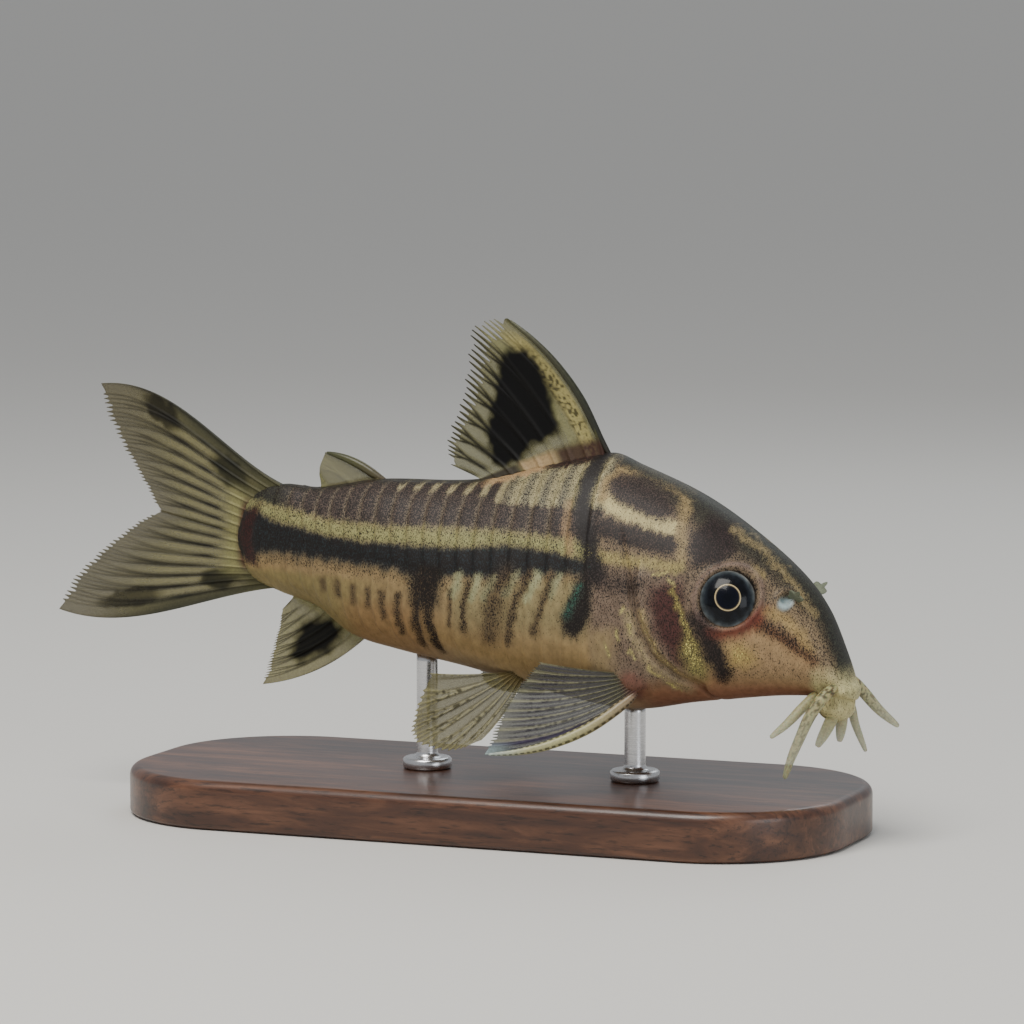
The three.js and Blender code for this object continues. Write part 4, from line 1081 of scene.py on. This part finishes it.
# Barbels
BARBELS = {
    "maxillary_right": (
        [[22.6, -1.3, 9.9], [22, -2.5, 9.1], [21.4, -2.9, 8.1], [20.9, -3, 7], [20.3, -3.1, 5.6],
         [19.9, -3.2, 4.35]],
        0.36,
    ),
    "maxillary_left": ([[22.7, 1.2, 10], [23.3, 2.3, 8.9], [23.9, 3.2, 7.9], [24.7, 4.6, 6.8]], 0.36),
    "rictal_right": ([[21.3, -1.3, 9.3], [20.6, -2.3, 8.4], [19.95, -3, 7.6], [19.1, -3.6, 6.8]], 0.3),
    "rictal_left": ([[21.9, 1.2, 9.3], [22.3, 2.2, 8.2], [22.6, 2.4, 7], [23.2, 2.7, 5.4]], 0.3),
    "mental_right": ([[22.4, -0.7, 8.4], [21.9, -1.05, 7.2], [21.3, -1.2, 6.1]], 0.38),
    "mental_left": ([[22.3, 0.7, 8.4], [22.15, 0.95, 7.2], [22, 1.05, 6.15]], 0.38),
}


def barbel_colours(spotted):
    """Pale olive, with dark spots that thin out towards the tip."""
    def colour_at(share, around):
        places = np.stack([share * 26, np.cos(around) * 2.2, np.sin(around) * 2.2], -1)
        cover = spotted * smooth(0.0, 0.2, noise_at(places, 1, 0)) * (1 - 0.8 * share)
        shade = tones_at(share, (0, 1), ("aea778", "adae82"))
        shade += (rgb("251d17") - shade) * cover[:, None]
        return np.column_stack([shade, 0.9 - 0.35 * share])

    return colour_at


def build_barbels(material):
    for name, (line, radius) in BARBELS.items():
        radii = [radius * share for share in (1.3, 1.08, 0.95, 0.84, 0.68)]
        colours = barbel_colours(0.9 if name.startswith("maxillary") else 0.25)
        name = f"barbel_{name}"
        build_taper(name, line, radii, material, [name], colours, (1, 0, 0))


def build_nostril_flap(name, side, material):
    """A thin, standing, fringed flap in front of the nostril."""
    seat, turn = skin_place(NOSTRIL_AT[0] + 0.42, NOSTRIL_AT[1], side)
    rings, sides = 24, 40
    share, around = tube_places(rings, sides)
    ring, rise = np.sin(np.pi * share), np.cos(np.pi * share)
    fingers = 1 + 0.22 * np.cos(6 * np.pi * share)
    flap = np.stack([
        0.48 * ring * np.cos(around) * fingers, 0.1 * ring * np.sin(around), 0.86 * rise * fingers,
    ], -1)
    make_mesh(
        name, bend(seat + flap @ turn.T), tube_faces(rings, sides), material, [],
        np.tile([*rgb("717763"), 0.8], (len(flap), 1)),
    )


# Stand
BASE_LENGTH, BASE_WIDTH, BASE_HEIGHT = 46, 20, 3
BASE_CORNER = 8
BASE_BEVEL = 0.6
ROD_AT = {"front": 9, "rear": -4.6}
ROD_RADIUS, ROD_FILLET, ROD_EDGE = 0.65, 0.35, 0.12
COLLAR_RADIUS, COLLAR_HEIGHT = 1.5, 0.7


def wood_material():
    material, tree, shader = new_material(
        "base_wood", Roughness=0.38, Coat_Weight=0.25, Coat_Roughness=0.2,
    )
    along = (0.12, 1.0, 1.0)
    grain = fine_noise(tree, 900.0, 8.0, 0.62, along, 0.6)
    tone = ramp(tree, grain, [(0.3, rgb("2a1710")), (0.5, rgb("4a2c1c")), (0.68, rgb("6b4630"))])
    pores = fine_noise(tree, 4200.0, 3.0, 0.7, along)
    dark = ramp(tree, pores, [(0.36, 0.45), (0.46, 1.0)])
    feed(tree, [shader.inputs["Base Color"]], [mix_colour(tree, 1.0, tone, dark, "MULTIPLY")])
    add_bump(tree, shader, pores, 0.00003, 0.4)
    return material


def steel_material():
    material, tree, shader = new_material("rod_steel", Metallic=1.0, Base_Color=(0.62, 0.62, 0.63, 1))
    turned = fine_noise(tree, 700.0, 4.0, 0.6, (1.0, 1.0, 14.0))
    feed(tree, [shader.inputs["Roughness"]], [ramp(tree, turned, [(0.3, 0.22), (0.7, 0.32)])])
    add_bump(tree, shader, turned, 0.000004, 0.2)
    return material


def build_base(material):
    """An oblong plinth with round corners and a softened edge."""
    corner_steps, bevel_steps = 24, 6
    corners = []
    for quarter, (sx, sy) in enumerate(((1, 1), (-1, 1), (-1, -1), (1, -1))):
        centre = np.array([sx * (BASE_LENGTH / 2 - BASE_CORNER), sy * (BASE_WIDTH / 2 - BASE_CORNER)])
        for i in range(corner_steps + 1):
            angle = math.pi / 2 * (quarter + i / corner_steps)
            corners.append((centre, np.array([math.cos(angle), math.sin(angle)])))
    layers = []
    for i in range(bevel_steps + 1):
        angle = math.pi / 2 * i / bevel_steps
        layers.append((BASE_BEVEL * (1 - math.sin(angle)), BASE_BEVEL * (1 - math.cos(angle)) / 2))
    # The top edge is rounded twice as high as the foot
    layers += [(inset, BASE_HEIGHT - height * 2) for inset, height in reversed(layers)]
    points, faces = [], []
    for inset, height in layers:
        points += [(*(centre + out * (BASE_CORNER - inset)), height) for centre, out in corners]
    count = len(corners)
    for j in range(len(layers) - 1):
        for i in range(count):
            a, b = j * count + i, j * count + (i + 1) % count
            faces.append((a, b, b + count, a + count))
    faces.append(tuple(reversed(range(count))))
    faces.append(tuple((len(layers) - 1) * count + i for i in range(count)))
    piece = make_mesh("stand_base_wood", points, faces, material, ["stand_base"], soft=False)
    for polygon in piece.data.polygons:
        polygon.use_smooth = len(polygon.vertices) == 4


def build_rod(name, x, material):
    """A turned rod with a collar, from the base up to the belly."""
    top = float(belly_at(x)) + 0.15
    collar_top = BASE_HEIGHT + COLLAR_HEIGHT
    outline = [
        (COLLAR_RADIUS - ROD_EDGE, BASE_HEIGHT), (COLLAR_RADIUS, BASE_HEIGHT + ROD_EDGE),
        (COLLAR_RADIUS, collar_top - ROD_EDGE), (COLLAR_RADIUS - ROD_EDGE, collar_top),
    ]
    for angle in np.linspace(0, math.pi / 2, 9):
        inset, rise = 1 - math.sin(angle), 1 - math.cos(angle)
        outline.append((ROD_RADIUS + ROD_FILLET * inset, collar_top + ROD_FILLET * rise))
    outline += [(ROD_RADIUS, top - 0.5), (ROD_RADIUS, top)]
    sides = 48
    points = [(x, 0, BASE_HEIGHT)]
    for radius, height in outline:
        for angle in np.arange(sides) * 2 * math.pi / sides:
            points.append((x + radius * math.cos(angle), radius * math.sin(angle), height))
    points.append((x, 0, top))
    make_mesh(
        f"stand_rod_{name}_steel", points, tube_faces(len(outline), sides), material,
        [f"stand_rod_{name}"],
    )


# Room, lights and camera

def build_floor():
    mesh = bpy.data.meshes.new("floor")
    far = 80.0
    mesh.from_pydata([(-far, -far, 0), (far, -far, 0), (far, far, 0), (-far, far, 0)], [], [(0, 1, 2, 3)])
    mesh.materials.append(new_material("floor", Roughness=0.9, Base_Color=(*rgb("d3d1cc"), 1))[0])
    add_object("floor", mesh)


def add_light(name, place, size, power, colour=(1, 1, 1)):
    """A soft lamp at place in millimetres, aimed at the fish."""
    light = bpy.data.lights.new(name, "AREA")
    light.energy = power
    light.size = size * MM
    light.color = colour
    lamp = add_object(name, light)
    lamp.location = Vector(place) * MM
    aim = Vector((0, 0, 15)) * MM - lamp.location
    lamp.rotation_euler = aim.to_track_quat("-Z", "Y").to_euler()


def build_room():
    world = bpy.context.scene.world or bpy.data.worlds.new("world")
    bpy.context.scene.world = world
    world.use_nodes = True
    backdrop = world.node_tree.nodes["Background"]
    backdrop.inputs["Color"].default_value = (0.9, 0.92, 0.95, 1)
    backdrop.inputs["Strength"].default_value = 0.5
    add_light("key", (-20, -130, 250), 150, 0.8, (1.0, 0.97, 0.92))
    add_light("fill", (230, -120, 60), 120, 0.14, (0.92, 0.96, 1.0))
    add_light("rim", (10, 190, 170), 120, 0.1, (0.9, 0.97, 1.0))


def build_camera():
    turn, rise = math.radians(CAMERA_TURN), math.radians(CAMERA_RISE)
    back = Vector((math.sin(turn) * math.cos(rise), -math.cos(turn) * math.cos(rise), math.sin(rise)))
    data = bpy.data.cameras.new("camera")
    data.lens = CAMERA_LENS
    data.sensor_width = SENSOR
    data.clip_start = 0.01
    camera = add_object("camera", data)
    camera.location = (Vector(CAMERA_TARGET) + back * CAMERA_FAR) * MM
    camera.rotation_euler = (-back).to_track_quat("-Z", "Y").to_euler()
    bpy.context.scene.camera = camera


def build_all():
    skin = skin_material()
    web = painted_material("fin", Roughness=0.55, Specular_IOR_Level=0.15)
    spine = painted_material(
        "spine", Roughness=0.4, Specular_IOR_Level=0.3, Coat_Weight=0.15, Coat_Roughness=0.15,
    )
    eye = painted_material(
        "eye", Roughness=0.2, Specular_IOR_Level=0.1, Coat_Weight=0.2, Coat_Roughness=0.03,
    )
    soft = painted_material(
        "barbel", Roughness=0.4, Specular_IOR_Level=0.3, Subsurface_Weight=0.25, Subsurface_Scale=0.0006,
    )
    build_skin(skin)
    for name, side in (("left", 1), ("right", -1)):
        build_eye(name, side, eye)
        build_nostril_flap(f"nostril_flap_{name}", side, web)
    build_fins(web, spine)
    build_barbels(soft)
    build_base(wood_material())
    steel = steel_material()
    for name, x in ROD_AT.items():
        build_rod(name, x, steel)


build_room()
build_camera()
build_floor()
build_all()
